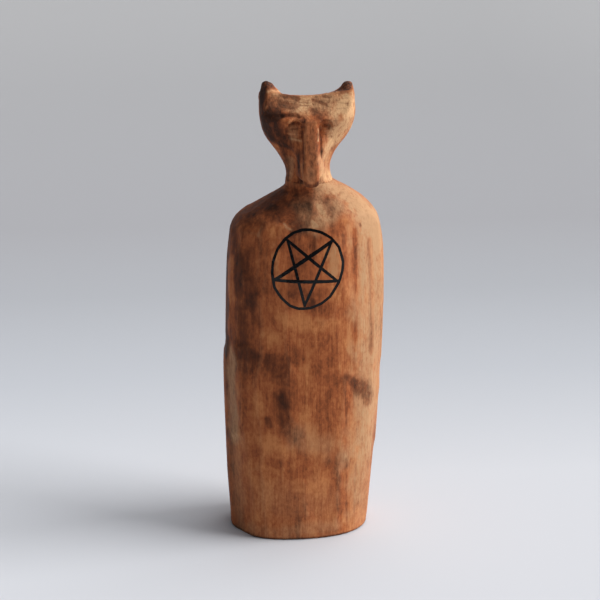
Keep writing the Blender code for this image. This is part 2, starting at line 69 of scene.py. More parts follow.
# What one pixel of the picture covers at the figure
PIXEL = 0.4374 * MM

# Body mesh: sides round it, the oblong that spaces them, the x of its middle, how far the shoulders
# fall, and the rise from ring to ring on the column and on the shoulders
BODY_SIDES = 280
BODY_OBLONG = (0.034, 0.025)
BODY_MIDDLE = 0.001
SHOULDER_FALL = 21.7 * MM
COLUMN_STEP = 0.7 * MM
SHOULDER_STEP = 0.5 * MM
SKIN_END = 0.02 * MM
FOOT_BEVEL = 0.8 * MM
FOOT_RINGS = 7
FOOT_CORE = 0.4
# Rays at the body start this far out
OUTSIDE = 0.1
# Between these heights, in metres, the grooves in front are closed, over gaps of so many cells
CHEST_FROM, CHEST_TO = 0.09, 0.15
GAP_CELLS = 2
# Broad knife planes on the body: three places in the picture that each passes through, its strength,
# and the rows of the picture that it spans. Clearance and softness ease where it begins to cut.
BODY_PLANES = (
    ((239.0, 352), (240.0, 425), (225.8, 390), 0.9, (346, 430)),
    ((248.5, 449), (255.5, 535), (230.3, 490), 0.9, (436, 560)),
    ((345.0, 226), (346.0, 300), (381.5, 262), 0.55, (205, 330)),
)
PLANE_CLEARANCE = 0.04 * MM
PLANE_SOFTNESS = 0.12 * MM
# The small step over the lower plane on the figure's right: the rows of the picture where it rises and
# runs out, the hollow over it, and the swelling at the knot on the other side, as row and half height
LIP_TOP = (343, 349)
LIP_FOOT = (430, 365)
LIP_RISE = 0.55 * MM
LIP_HOLLOW = (338, 5)
LIP_HOLLOW_DEPTH = 0.15 * MM
KNOT = (386, 9)
KNOT_RISE = 0.35 * MM
# The hammered patch on the chest, as an oval of the picture: middle, half width and half height
HAMMERED = (322, 212, 26, 26)
# Rows of knife facets up the body: height, how many, how far they stray up or down, and whether the
# row is turned by half a facet. Heights and strays are in mm.
BODY_FACETS = (
    (8, 15, 5, 0.5), (32, 15, 5, 0), (56, 15, 5, 0.5), (80, 15, 5, 0), (104, 15, 5, 0.5), (126, 15, 5, 0.5),
    (141, 14, 1.5, 0.5), (151, 11, 1, 0),
)

# Knife facets: the least that a facet faces a point it cuts, what each step out of its reach costs,
# and how many points are worked at a time
LEAST_FACING = 0.2
REACH_COST = 4 * MM
POINTS_AT_ONCE = 4000

# Backdrop paper, in metres: where it begins, its length and half width, how far back it lies flat, and
# the radius of its bend
PAPER_FRONT = -1.5
PAPER_LENGTH = 4.5
PAPER_HALF_WIDTH = 3
PAPER_FLAT = 0.9
PAPER_BEND = 0.7
# Lamps: place, what they point at, power in watts, and the side of the panel
LAMPS = (
    ("window_light", (2.9, -0.45, 1.5), (0, 0, 0.1), 140, 2.2),
    ("ceiling_light", (0.8, 0.2, 2.0), (-0.2, 0, 0), 27, 2.0),
)

# Noise: shifts that keep its seeds and its octaves apart
SEED_SHIFT = 17.3
OCTAVE_SHIFT = 5.1

# Faces that meet at more than this keep a sharp edge
SHARP_ANGLE = math.radians(50)

# Head mesh: voxels of its skin, and of the skirts that part the horns from it
HEAD_VOXEL = 0.30 * MM
SKIRT_VOXEL = 0.34 * MM

# Star: its tips in the picture, in the order that the strokes run, and each stroke's width and bow in mm
STAR_TIPS = ((287.5, 240.4), (337.2, 281.0), (274.6, 280.0), (331.6, 241.4), (304.6, 305.8))
STROKES = ((1.45, 0.05), (1.60, 0.25), (1.75, 0.0), (1.35, 0.1), (1.35, -0.1))
STROKE_OVERRUN = 0.5 * MM
# Ring: where the knife turned, in the picture, with so many points from turn to turn
RING_KNOTS = (
    (310.8, 229.9), (321.5, 232.6), (331.0, 238.0), (338.9, 247.0), (343.0, 261.5), (342.3, 271.0),
    (338.9, 282.0), (330.2, 296.4), (321.5, 303.4), (310.0, 308.2), (298.3, 308.7), (289.9, 305.6),
    (281.6, 298.2), (274.5, 287.5), (272.2, 273.3), (273.1, 261.7), (277.6, 249.1), (285.2, 239.0),
    (293.5, 232.9), (302.5, 230.0),
)
RING_WIDTH = 1.22 * MM
RING_FINENESS = 6
# How much the ring bows from turn to turn, and how much its width wanders
RING_BOW = 0.16
RING_WANDER = 0.14
# Grooves and filling: depths below the wood, and the span in y of the solids that cut them
GROOVE_DEPTH = 0.8 * MM
FILL_BELOW_WOOD = 0.14 * MM
INLAY_FRONT = -35 * MM
INLAY_BACK = -18 * MM
CHEST_MARGIN = 4 * MM
CHEST_THICKNESS = 8 * MM

# Head: knife lines as places in the picture, with the tool's half width in pixels and its depth
# in mm, below 0 where the wood is left standing. Right and left are the figure's own.
BROW_RIGHT = ((262, 111.5), (270, 114), (280, 115.6), (290, 115.4), (298, 117))
JAW_RIGHT = (
    (272.5, 140.5), (280, 144), (286, 147), (290.5, 150.5), (294.5, 156), (297.6, 163), (299.6, 172),
    (301.5, 182),
)
JAW_LEFT = ((333, 143), (328.5, 152), (326.6, 162), (325.8, 172), (324.8, 183))
HEAD_STROKES = (
    (((264, 112), (270, 114.5), (277, 116), (284, 115.6)), 3.4, 0.50),
    (((278, 116), (285, 115.2), (291, 114.6), (297, 115.6), (301, 118), (303.5, 121)), 1.8, 0.30),
    (((320, 120), (327, 118.5), (335, 115), (343, 109.5), (349, 103.5)), 3.0, 0.22),
    (((287.5, 124), (290.5, 120.6), (295, 119.2), (300, 119.8), (302, 122)), 1.8, -0.40),
    (((294, 129), (294.2, 132), (294, 135)), 5.2, -0.65),
    (((288.2, 126.8), (291, 124.2), (295, 122.8), (299, 123.2), (302, 126)), 1.5, 0.65),
    (((301.2, 126), (301.6, 132), (301.4, 138)), 1.5, 0.42),
    (((286.8, 127), (286.2, 132), (287.6, 136.8)), 1.3, 0.22),
    (((289.4, 137.8), (293, 139.2), (297, 140.2), (301, 140.7)), 1.2, -0.32),
    (((287.6, 141.4), (291, 142.8), (297, 143.8), (301.5, 143.6)), 1.9, 0.20),
    (((296.6, 127.5), (296.8, 131), (296.4, 135)), 1.2, 0.24),
    (((320.8, 126.6), (324, 125), (327.5, 125.2), (330.6, 127.6)), 1.9, 0.50),
    (((325.4, 130), (325.6, 134)), 3.4, -0.25),
    (((320.5, 137.2), (325, 138.6), (330.5, 136.4)), 1.4, 0.18),
    (((303.2, 118.5), (302.8, 125), (302.6, 134), (302.6, 145), (303.0, 154), (303.4, 164)), 2.3, 0.44),
    (((320.0, 127), (320.4, 137), (320.8, 147), (321.4, 153), (321.6, 159)), 1.4, 0.36),
    (((318.2, 129), (318.2, 142)), 1.0, -0.20),
    (((321.4, 151), (321.8, 157.5)), 1.6, 0.12),
    (((279, 143.6), (285, 146.5), (290, 150), (294.5, 155.5), (297.8, 162.5), (299.5, 170)), 2.6, 0.34),
)
# The nose: its place in the picture, its half width, how much it is rounded, and how far it drops
NOSE_MIDDLE = (311.2, 181)
NOSE_HALF = 4.1 * MM
NOSE_ROUNDING = 1.7 * MM
NOSE_DROP = 1.2 * MM
MUZZLE_WIDENING = 0.15
# The foot of the neck: how high it begins to run out, how far it spreads and how far it drops
NECK_RUN = 2.8 * MM
NECK_SPREAD = 1.0 * MM
NECK_DROP = 0.9 * MM
# The muzzle's sloping flank on the figure's left: its front edge and its foot on the neck, row by row
FLANK = (((316.8, 157), (320.8, 157)), ((317.0, 170), (326.0, 170)), ((316.8, 186.5), (327.0, 186.5)))

# The face is shaped where the head is turned to the camera: from the first value on, and fully from
# the second
HEAD_FACING = (0.05, 0.35)
# Areas of the head in the picture: middle, half width and half height
TEMPLES = ((261, 93, 9, 9), (352.5, 92, 8, 9))
BROW = (283, 115, 26, 9)
UNDER_BROW = (281, 119, 26, 7)
TEMPLE_RIDGES = ((264, 98, 7, 18), (351, 98, 6, 16))
FOREHEAD = (307, 102, 50, 18)
SOCKETS = ((294.5, 129.5, 10, 14), (325.5, 129, 9, 12))
CHEEKS = ((292, 165, 11, 24), (329, 165, 8, 24))
MUZZLE = (311.5, 172, 15, 34)
FLANK_LEFT = (319.5, 136, 6, 22)
FLANK_RIGHT = (303.5, 140, 5, 24)
JAW = (288, 150, 17, 14)

# Horns: how far the sculpted joint reaches round the CAD horn, how far the foot sinks and widens, and
# how much the tip narrows
HORNS = ("left_horn", "right_horn")
HORN_SKIRT = 1.3 * MM
HORN_SINK = 0.6 * MM
HORN_WIDENING = 0.13
TIP_NARROWING = {"right_horn": 0.12, "left_horn": 0.20}

# The crown's edge rises towards the horns: its lowest place in the picture, and its rise
CROWN_LOW = 304
CROWN_RISE = 1.3 * MM

# Knife planes down the temples, as those on the body
HEAD_PLANES = (
    ((267.5, 91), (265.8, 109), (259.6, 100), 0.9, (82, 113)),
    ((349.6, 93), (347.4, 112), (354.2, 103), 0.6, (88, 118)),
)
# Rays at the head start this far out
HEAD_OUTSIDE = 0.06
# Rows of knife facets up the neck and the head, as height in metres and how many, and the level ones
# over the forehead, as places in the picture
HEAD_FACETS = ((0.163, 9), (0.169, 11), (0.1755, 13), (0.182, 14), (0.1885, 14))
FOREHEAD_FACETS = (
    (272, 99), (286, 101), (301, 103), (316, 104), (331, 101), (345, 98), (280, 108), (296, 112),
    (311, 115), (326, 112), (340, 106),
)

# Stain on the wood, with painted light and shade, as brush marks in the picture: path, half width in
# pixels, and strength. Soak and shade is how much stain went in, below 0 where it was wiped off, with
# painted shade on the figure's shaded right side and in the hollows and creases of the face. Pale
# and lit is bare or rubbed wood, with painted light on the figure's lit left side and painted
# highlights along edges. Layers of paint are held within the limit. Stain gathers in cuts, and with
# the painted shade it hides worn wood and painted light, more and more from the first amount of the
# pair below to its second.
LAYER_LIMIT = 1.5
CUT_SOAK = 0.20
SOAKED_AND_SHADED = (0.35, 0.9)
# Partly painted shade: the marks down the figure's right edge and over its right shoulder, at the left of
# the picture, darken the side turned from the lamps; the rest are stain
BODY_SOAK_AND_SHADE = (
    (((229, 240), (244, 214), (262, 202), (277, 199)), 17, 0.92),
    (((250, 224), (268, 217), (292, 211)), 13, 0.70),
    (((228, 232), (227, 262), (227, 300), (226, 345)), 10, 1.10),
    (((240, 250), (244, 300), (248, 350)), 16, 0.55),
    (((262, 236), (264, 262), (263, 290)), 9, 0.28),
    (((238, 260), (237, 276), (240, 292)), 8, 0.50),
    (((249, 258), (253, 282), (250, 306)), 9, 0.30),
    (((256, 304), (262, 318), (272, 328)), 10, 0.45),
    (((236, 312), (239, 334), (241, 350), (249, 362)), 13, 0.40),
    (((255, 344), (259, 360)), 10, 0.12),
    (((288, 338), (290, 352), (300, 361)), 8, 0.45),
    (((272, 360), (281, 371), (286, 384), (286, 397)), 12, 0.70),
    (((276, 404), (283, 420), (288, 434)), 13, 0.72),
    (((268, 420), (270, 427)), 3.5, 0.70),
    (((320, 366), (323, 377), (344, 378)), 8, 0.45),
    (((333, 346), (333, 367)), 0.9, 0.80),
    (((348, 378), (354, 384)), 4, 0.45),
    (((360, 386), (368, 397)), 11, 0.74),
    (((269, 462), (278, 465)), 6, 0.50),
    (((328, 462), (344, 465)), 6, 0.40),
    (((326, 309), (336, 313)), 8, 0.30),
    (((313.5, 300), (315.5, 326)), 1.8, 0.50),
    (((303, 200), (306, 211), (300, 226)), 11, 0.72),
    (((316, 198), (324, 226)), 14, 0.46),
    (((330, 202), (337, 226)), 9, 0.40),
    (((229, 360), (231, 430)), 11, 0.55),
    (((229, 440), (231, 480), (236, 526)), 11, 0.62),
    (((244, 372), (246, 402)), 9, 0.50),
    (((339, 478), (340, 528)), 4, 0.35),
    (((262, 492), (300, 500), (335, 492)), 26, 0.05),
    (((354, 230), (355, 340)), 2.2, 0.48),
    (((343, 235), (343, 300)), 2.0, 0.40),
    (((368, 240), (370, 350)), 3.0, 0.65),
    (((375, 250), (376, 330)), 1.6, 0.45),
    (((346, 400), (347, 520)), 1.4, 0.35),
    (((358, 405), (354, 515)), 1.6, 0.40),
    (((360, 224), (360.4, 226)), 1.5, 0.90),
    (((336, 254), (333, 270)), 6, -0.40),
    (((299, 250), (308, 286)), 22, 0.52),
    (((305, 264), (309, 276)), 9, 0.14),
    (((280, 319), (305, 322), (332, 324)), 9, -0.45),
    (((268, 334), (290, 337)), 10, -0.30),
    (((249, 438), (262, 445), (282, 441)), 8, -0.25),
    (((260, 457), (262, 468)), 5, -0.40),
    (((290, 450), (296, 465)), 8, -0.50),
    (((302, 424), (312, 445)), 11, -0.55),
    (((340, 398), (342, 426)), 6, -0.35),
    (((352, 418), (356, 458)), 8, -0.30),
    (((348.5, 226), (348.5, 350)), 2.8, -0.45),
    (((360.6, 230), (361, 350)), 2.6, -0.45),
    (((372, 238), (374, 305)), 4, -0.25),
)
# Partly painted light: the broad marks down the figure's left side and over its left shoulder, at the right
# of the picture, lighten the side that faces the lamps; the rest are rubbed wood, chips and darker lines
BODY_PALE_AND_LIT = (
    (((367, 215), (369, 300), (367, 400), (362, 510)), 20, 0.45),
    (((376, 222), (379.5, 300), (377, 390), (368, 500)), 28, 0.55),
    (((361, 384), (369, 397)), 9, -0.30),
    (((354.5, 230), (355.5, 350)), 2.4, -0.50),
    (((370, 240), (371.5, 352)), 3.4, -0.50),
    (((348, 226), (348.5, 350)), 2.8, 0.22),
    (((361.5, 230), (362, 350)), 3.2, 0.28),
    (((334, 182), (352, 195), (368, 216)), 13, 0.90),
    (((322, 187), (340, 192)), 8, 0.65),
    (((231, 356), (232, 395), (234, 434)), 11, 0.80),
    (((235, 446), (240, 526)), 11, 0.30),
    (((312, 220), (324, 214), (336, 206)), 14, 0.92),
    (((302, 206), (320, 199)), 10, 0.40),
    (((348, 186), (365, 199), (376, 218), (379.5, 240)), 12, 0.50),
    (((270, 500), (300, 504), (330, 500)), 22, 0.14),
    (((284, 223.5), (287, 228), (292, 230)), 1.2, 0.70),
    (((317, 204.5), (323, 212)), 1.2, 0.45),
    (((327, 207), (323.5, 214)), 1.1, 0.45),
    (((313, 222), (318, 227.5)), 1.1, 0.50),
    (((262, 226), (258, 236)), 1.3, 0.35),
    (((334, 250), (335, 272)), 6, 0.55),
    (((250, 528), (300, 530), (335, 526)), 8, 0.35),
    (((300, 440), (323, 448)), 15, 0.36),
)
# Where the wood is speckled: the knot at the side, the hammered patch on the chest, and the shoulder
BODY_SPECKLED = (
    (((350, 380), (357, 387)), 5, 1.00),
    (((360, 384), (369, 398)), 9, 1.10),
    (((308, 222), (324, 213), (338, 204)), 14, 0.40),
    (((332, 184), (350, 196), (366, 216)), 14, 0.35),
)
# Partly painted shade: most of these marks darken the hollow under the brow, the creases round the eyes,
# the shade under the jaw and beside the muzzle, the crease under the nose and the head's shaded right side;
# the streaks over the forehead and the crown are stain
HEAD_SOAK_AND_SHADE = (
    (((267, 113.5), (273, 115), (279, 116)), 6.5, 1.20),
    (((279, 116), (288, 115.4), (295, 115.2), (301, 117.6), (303.5, 120)), 2.9, 0.78),
    (((270, 122), (273, 130), (278, 137)), 13, 0.95),
    (((279, 126), (284, 138)), 8, 0.28),
    (((261.5, 94), (261, 112), (264, 124), (271, 140)), 6, 1.10),
    (((268, 98), (277, 105)), 9, 0.45),
    (((302, 103), (322, 104)), 8, 0.16),
    (((284, 106), (296, 109)), 5, 0.35),
    (((270, 99), (290, 104)), 8, 0.30),
    (((281, 143.5), (290, 148.5), (297, 156), (299, 165), (301, 178)), 3.2, 0.52),
    (((299, 154), (300.5, 181)), 4.6, 0.90),
    (((303, 121), (302.8, 140), (303, 158)), 2.4, 0.45),
    (((291, 143), (297, 149), (300, 158)), 6, 0.12),
    (((303.4, 158), (304, 172)), 2.0, 0.30),
    (((288.6, 127), (292, 124), (297.5, 122.9), (302, 126.4)), 2.0, 0.50),
    (((301.2, 127), (301.4, 137)), 1.6, 0.60),
    (((296.6, 127.5), (296.6, 135)), 1.4, 0.35),
    (((321, 127.4), (325, 126), (330, 127.8)), 2.4, 0.12),
    (((326, 131), (326, 133)), 2.4, 0.16),
    (((320.6, 128), (320.8, 140), (321.4, 158)), 1.7, 0.50),
    (((321.6, 151), (322, 157.5)), 1.8, 0.30),
    (((281, 94.6), (290, 96.2), (297, 97.8)), 3.2, 0.55),
    (((311, 93.4), (335, 92.4)), 1.2, 0.80),
    (((311, 111.5), (317, 115), (322, 118.4)), 4.5, 0.60),
    (((268, 104), (276, 107), (284, 109)), 4.5, 0.40),
    (((324, 95.5), (336, 99), (346, 104)), 2.4, 0.45),
    (((313, 100), (326, 104)), 1.8, 0.40),
    (((349, 103), (352, 109)), 1.5, 0.60),
    (((288, 101), (322, 103)), 11, 0.30),
    (((311, 124), (311, 150), (311.5, 176)), 8, 0.60),
    (((304.8, 183.5), (307, 186), (311, 187), (315.5, 186), (318.2, 183.5)), 2.8, 0.90),
    (((284, 150), (288, 165), (287, 178)), 7, 0.80),
    (((341, 132), (338, 139)), 4, 0.15),
)
# Partly painted light: marks on the head's lit left side, the neck and the muzzle's left flank lighten what
# faces the lamps, and thin ones are painted highlights along the crown's edge, the muzzle's edge, the lower
# lid and a horn's edge; the two forehead patches are worn wood, also paled as light from above
HEAD_PALE_AND_LIT = (
    (((276, 100), (300, 103)), 9, 0.58),
    (((300, 104), (341, 101)), 12, 0.62),
    (((311, 126), (311, 176)), 7, 0.14),
    (((346, 106), (343, 124), (334, 142)), 9, 0.98),
    (((334, 118), (330, 142)), 7, 0.40),
    (((330, 146), (330.5, 178)), 8, 0.82),
    (((320.6, 161), (321.4, 172), (321.2, 184)), 7, 0.50),
    (((323.4, 166), (324.6, 184)), 8, 0.50),
    (((352.5, 99), (352.8, 112), (350.5, 124), (343, 140)), 8, 0.55),
    (((290, 160), (289, 174)), 5, 0.35),
    (((290, 138.4), (301, 141)), 1.4, 0.30),
    (((294, 129), (294, 136)), 5, 0.30),
    (((318.3, 129), (318.3, 141)), 1.1, 0.80),
    (((311, 172), (312, 182)), 6, 0.15),
    (((268, 91), (277.5, 91.4), (300, 94.6), (313, 95)), 2.2, 0.70),
    (((346.5, 94), (351, 101)), 1.5, 0.90),
)
# The forehead's two worn patches, also paled as painted light from above, where the scrapes show
HEAD_SCRAPED = HEAD_PALE_AND_LIT[:2]
HORN_DARK = (
    (((264, 79), (264, 86), (262, 97)), 6.0, 1.30),
    # Partly painted shade: this mark runs down the head's shaded edge below the horn at the left of the
    # picture
    (((261, 92), (261, 106)), 4, 0.70),
    (((347.5, 82), (345, 88)), 8, 1.40),
    (((334, 91.6), (341, 89.5)), 2.6, 1.00),
)


# Camera
def camera_axes():
    """Right, up and back of the camera."""
    back = Vector(
        (
            math.sin(CAMERA_AZIMUTH) * math.cos(CAMERA_ELEVATION),
            -math.cos(CAMERA_AZIMUTH) * math.cos(CAMERA_ELEVATION),
            math.sin(CAMERA_ELEVATION),
        )
    )
    right = Vector((0, 0, 1)).cross(back).normalized()
    return right, back.cross(right), back


RIGHT, UP, BACK = camera_axes()
EYE = CAMERA_AIM + BACK * CAMERA_DISTANCE
FOCAL = CAMERA_LENS / CAMERA_SENSOR * IMAGE_SIZE


def make_camera():
    camera = linked("camera", bpy.data.cameras.new("camera"))
    camera.data.lens = CAMERA_LENS
    camera.data.sensor_width = CAMERA_SENSOR
    camera.location = EYE
    camera.rotation_euler = BACK.to_track_quat("Z", "Y").to_euler()
    bpy.context.scene.camera = camera


def pixels(points):
    """Where points lie in the picture, as columns of x and y."""
    away = points - np.array(EYE)
    depth = -away @ np.array(BACK)
    x = IMAGE_MIDDLE + FOCAL * (away @ np.array(RIGHT)) / depth
    y = IMAGE_MIDDLE - FOCAL * (away @ np.array(UP)) / depth
    return np.stack([x, y], 1)


def turned(normals):
    """How far normals are turned to the camera, from 1 to -1."""
    return normals @ np.array(BACK)


def on_surface(tree, x, y):
    """The point of a surface that the picture shows at x and y."""
    ray = -BACK + RIGHT * ((x - IMAGE_MIDDLE) / FOCAL) + UP * ((IMAGE_MIDDLE - y) / FOCAL)
    hit = tree.ray_cast(EYE, ray.normalized())[0]
    return np.array(hit if hit else EYE + ray * CAMERA_DISTANCE)


def path_on(tree, path):
    """Points of the picture as points of a surface."""
    return np.array([on_surface(tree, x, y) for x, y in path])


def near(places, *areas):
    """1 in the middle of areas of the picture, falling to 0 at their oval edges."""
    most = np.zeros(len(places))
    for x, y, wide, high in areas:
        gap = ((places[:, 0] - x) / wide) ** 2 + ((places[:, 1] - y) / high) ** 2
        most = np.maximum(most, step(1, 0.25, gap))
    return most


def band(places, middle, half):
    """1 at a row of the picture, falling off above and below it."""
    return np.exp(-(((places[:, 1] - middle) / half) ** 2))


# Meshes
def cad_copy(*names):
    """Copies of CAD nodes in one bmesh, with their loose triangles merged."""
    bm = bmesh.new()
    for name in names:
        bm.from_mesh(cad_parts[name].data)
    bmesh.ops.remove_doubles(bm, verts=bm.verts, dist=0.001 * MM)
    return bm


def as_mesh(name, bm):
    """Makes a bmesh a mesh, with its faces outwards."""
    bmesh.ops.recalc_face_normals(bm, faces=bm.faces)
    mesh = bpy.data.meshes.new(name)
    bm.to_mesh(mesh)
    bm.free()
    return mesh


def linked(name, data):
    """A new object in the scene that holds a mesh, a camera or a lamp."""
    holder = bpy.data.objects.new(name, data)
    bpy.context.scene.collection.objects.link(holder)
    return holder


def finish_piece(name, mesh, replaced, finish):
    """Makes a mesh a piece that rides on the root body in place of a CAD node."""
    mesh.shade_smooth()
    mesh.set_sharp_from_angle(angle=SHARP_ANGLE)
    mesh.name = name
    mesh.materials.clear()
    mesh.materials.append(finish)
    piece = linked(name, mesh)
    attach(piece, "root")
    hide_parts(replaced)


def with_modifiers(blank):
    """The mesh that an object's modifiers make of it."""
    shown = blank.evaluated_get(bpy.context.evaluated_depsgraph_get())
    return bpy.data.meshes.new_from_object(shown)


def remeshed(mesh, voxel):
    """One even skin round a mesh."""
    blank = linked("blank", mesh)
    modifier = blank.modifiers.new("voxels", "REMESH")
    modifier.mode = "VOXEL"
    modifier.voxel_size = voxel
    made = with_modifiers(blank)
    bpy.data.objects.remove(blank)
    return made


def combined(mesh, *steps):
    """A mesh after Booleans, each an operation and the other mesh."""
    blank = linked("blank", mesh)
    tools = [linked("tool", other) for _, other in steps]
    for (operation, _), tool in zip(steps, tools):
        modifier = blank.modifiers.new(operation, "BOOLEAN")
        modifier.operation = operation
        modifier.solver = "EXACT"
        modifier.object = tool
    made = with_modifiers(blank)
    for holder in [blank, *tools]:
        bpy.data.objects.remove(holder)
    return made


def verts_in(geom):
    return [part for part in geom if isinstance(part, bmesh.types.BMVert)]


def on_loop(vert, loop):
    """The member of a loop that a vertex on a circle stands for."""
    turn = math.atan2(vert.co.y, vert.co.x) / (2 * math.pi)
    return loop[round(turn * len(loop)) % len(loop)]


def values_of(parts, key, size, kind=float):
    """One value of each vertex or edge of a mesh, as rows of a table."""
    values = np.zeros(len(parts) * size, kind)
    parts.foreach_get(key, values)
    return values.reshape(-1, size)


def points_of(mesh):
    return values_of(mesh.vertices, "co", 3)


def normals_of(mesh):
    return values_of(mesh.vertices, "normal", 3)


def edges_of(mesh):
    return values_of(mesh.edges, "vertices", 2, int)


def set_points(mesh, points):
    """Moves a mesh's vertices to the given places."""
    mesh.vertices.foreach_set("co", points.ravel())
    mesh.update()


def tree_of(mesh):
    bm = bmesh.new()
    bm.from_mesh(mesh)
    tree = BVHTree.FromBMesh(bm)
    bm.free()
    return tree


def around(values, edges):
    """The mean of each vertex's neighbours."""
    count = len(values)
    ends = np.concatenate([edges[:, 0], edges[:, 1]])
    others = np.concatenate([edges[:, 1], edges[:, 0]])
    share = np.maximum(np.bincount(ends, minlength=count), 1)
    flat = values.reshape(count, -1)
    sums = [np.bincount(ends, flat[others, i], minlength=count) for i in range(flat.shape[1])]
    return (np.stack(sums, 1) / share[:, None]).reshape(values.shape)


def smoothed(values, edges, rounds, share=1.0, amount=0.5):
    """Values, or points, eased towards their neighbours, each vertex as far as its share says."""
    amount = amount * share
    if isinstance(share, np.ndarray) and values.ndim > 1:
        amount = amount[:, None]
    for _ in range(rounds):
        values = values + amount * (around(values, edges) - values)
    return values


def bend(mesh, edges):
    """How far each vertex lies below its neighbours, in mm: above 0 in a hollow."""
    points = points_of(mesh)
    return ((around(points, edges) - points) * normals_of(mesh)).sum(1) / MM


def ripple(points, sizes, seed, octaves=1):
    """Smooth noise from -1 to 1 whose waves have the given sizes in mm."""
    scaled = points / (np.array(sizes) * MM) + seed * SEED_SHIFT
    value = np.zeros(len(points))
    for octave in range(octaves):
        fine = (scaled * 2**octave + octave * OCTAVE_SHIFT).tolist()
        value += np.array([noise.noise(p) for p in fine]) / 2**octave
    return value


def step(low, high, value):
    """0 below low, 1 above high, and a smooth rise between them."""
    t = np.clip((value - low) / (high - low), 0, 1)
    return t * t * (3 - 2 * t)


def from_path(points, path):
    """How far points lie from a path of points, and how far along it, from 0 to 1."""
    path = np.array(path)
    lengths = np.linalg.norm(path[1:] - path[:-1], axis=1)
    starts = np.concatenate([[0], np.cumsum(lengths)])
    nearest = np.full(len(points), 1e9)
    along = np.zeros(len(points))
    for i, (a, b) in enumerate(zip(path, path[1:])):
        t = np.clip((points - a) @ (b - a) / max(lengths[i] ** 2, 1e-12), 0, 1)
        gap = np.linalg.norm(points - a - t[:, None] * (b - a), axis=1)
        closer = gap < nearest
        nearest[closer] = gap[closer]
        along[closer] = ((starts[i] + t * lengths[i]) / starts[-1])[closer]
    return nearest, along


def whittled(points, normals, seeds, seed_normals, stretch, reach, depth, softness):
    """How far along its normal each point moves to lie on the knife facets about the seeds."""
    moved = np.zeros(len(points))
    for start in range(0, len(points), POINTS_AT_ONCE):
        part = slice(start, start + POINTS_AT_ONCE)
        gap = points[part, None, :] - seeds[None]
        far = np.linalg.norm(gap / stretch, axis=2) / reach
        facing = np.clip(normals[part] @ seed_normals.T, LEAST_FACING, 1)
        rise = (-(gap * seed_normals[None]).sum(2) - depth) / facing
        rise += np.maximum(far - 1, 0) * REACH_COST
        least = rise.min(1, keepdims=True)
        weight = np.exp(-(rise - least) / softness)
        moved[part] = (rise * weight).sum(1) / weight.sum(1)
    return moved


def tilted(normal, rng, amount):
    """A normal that the knife's hand leaves a little off."""
    return (normal + Vector(rng.normal(0, amount, 3))).normalized()


def oblong_ray(turn):
    """The way out from the body's middle at a turn round it."""
    wide, deep = BODY_OBLONG
    return Vector((wide * math.cos(turn), deep * math.sin(turn), 0)).normalized()


# Body
def body_blank():
    """A ringed skin over the CAD body, with its grooves closed, as a mesh of rings from foot to neck."""
    bm = cad_copy("body", "chest_ring", "chest_star")
    tree = BVHTree.FromBMesh(bm)
    bm.free()
    shoulder = BODY_TOP - SHOULDER_FALL
    column = np.arange(FOOT_BEVEL, shoulder, COLUMN_STEP)
    slope = np.linspace(shoulder, BODY_TOP - SKIN_END, round((BODY_TOP - shoulder) / SHOULDER_STEP))
    heights = np.concatenate([[SKIN_END], column, slope])
    turns = np.arange(BODY_SIDES) * 2 * math.pi / BODY_SIDES
    rays = [oblong_ray(turn) for turn in turns]
    reach = np.zeros((len(heights), BODY_SIDES))
    for row, z in enumerate(heights):
        middle = Vector((BODY_MIDDLE, 0, z))
        for side, ray in enumerate(rays):
            reach[row, side] = OUTSIDE - tree.ray_cast(middle + ray * OUTSIDE, -ray)[3]

    # Closes the narrow gaps beside the inlay: the widest nearby reach, then the least of those
    def spread(grid, choose):
        grid = choose.reduce([np.roll(grid, i, 1) for i in range(-GAP_CELLS, GAP_CELLS + 1)])
        padded = np.pad(grid, ((GAP_CELLS, GAP_CELLS), (0, 0)), mode="edge")
        return choose.reduce([padded[i : i + len(grid)] for i in range(2 * GAP_CELLS + 1)])

    closed = spread(spread(reach, np.maximum), np.minimum)
    front = np.sin(turns) < -0.2
    chest = (heights > CHEST_FROM) & (heights < CHEST_TO)
    reach = np.where(chest[:, None] & front[None], closed, reach)

    # A tube of rings a unit apart, whose lowest rings close the foot
    bm = bmesh.new()
    last = len(heights) + FOOT_RINGS - 1
    bmesh.ops.create_cone(bm, cap_ends=True, segments=BODY_SIDES, radius1=1, radius2=1, depth=last)
    uprights = [e for e in bm.edges if abs(e.verts[0].co.z - e.verts[1].co.z) > 0.5]
    bmesh.ops.subdivide_edges(bm, edges=uprights, cuts=last - 1)
    for vert in bm.verts:
        row = round(vert.co.z + last / 2) - FOOT_RINGS
        side = on_loop(vert, range(BODY_SIDES))
        share = min((row + FOOT_RINGS + FOOT_CORE) / (FOOT_RINGS + FOOT_CORE), 1)
        row = max(row, 0)
        height = heights[row] if row else 0.0
        vert.co = Vector((BODY_MIDDLE, 0, height)) + rays[side] * (reach[row, side] * share)
    return as_mesh("body_blank", bm)


def planed(points, corners, strength, rows):
    """Points outside a plane through three places, moved back towards it between two picture rows."""
    a, b, c = corners
    across = np.cross(b - a, c - a)
    across /= np.linalg.norm(across)
    if across @ np.array(BACK) < 0:
        across = -across
    outside = (points - a) @ across
    y = pixels(points)[:, 1]
    window = step(rows[0] - 4, rows[0] + 6, y) * step(rows[1] + 6, rows[1] - 6, y)
    front = step(6 * MM, 2 * MM, points[:, 1])
    over = np.maximum(outside - PLANE_CLEARANCE, 0)
    push = over**2 / (over + PLANE_SOFTNESS)
    return points - across * (push * strength * window * front)[:, None]


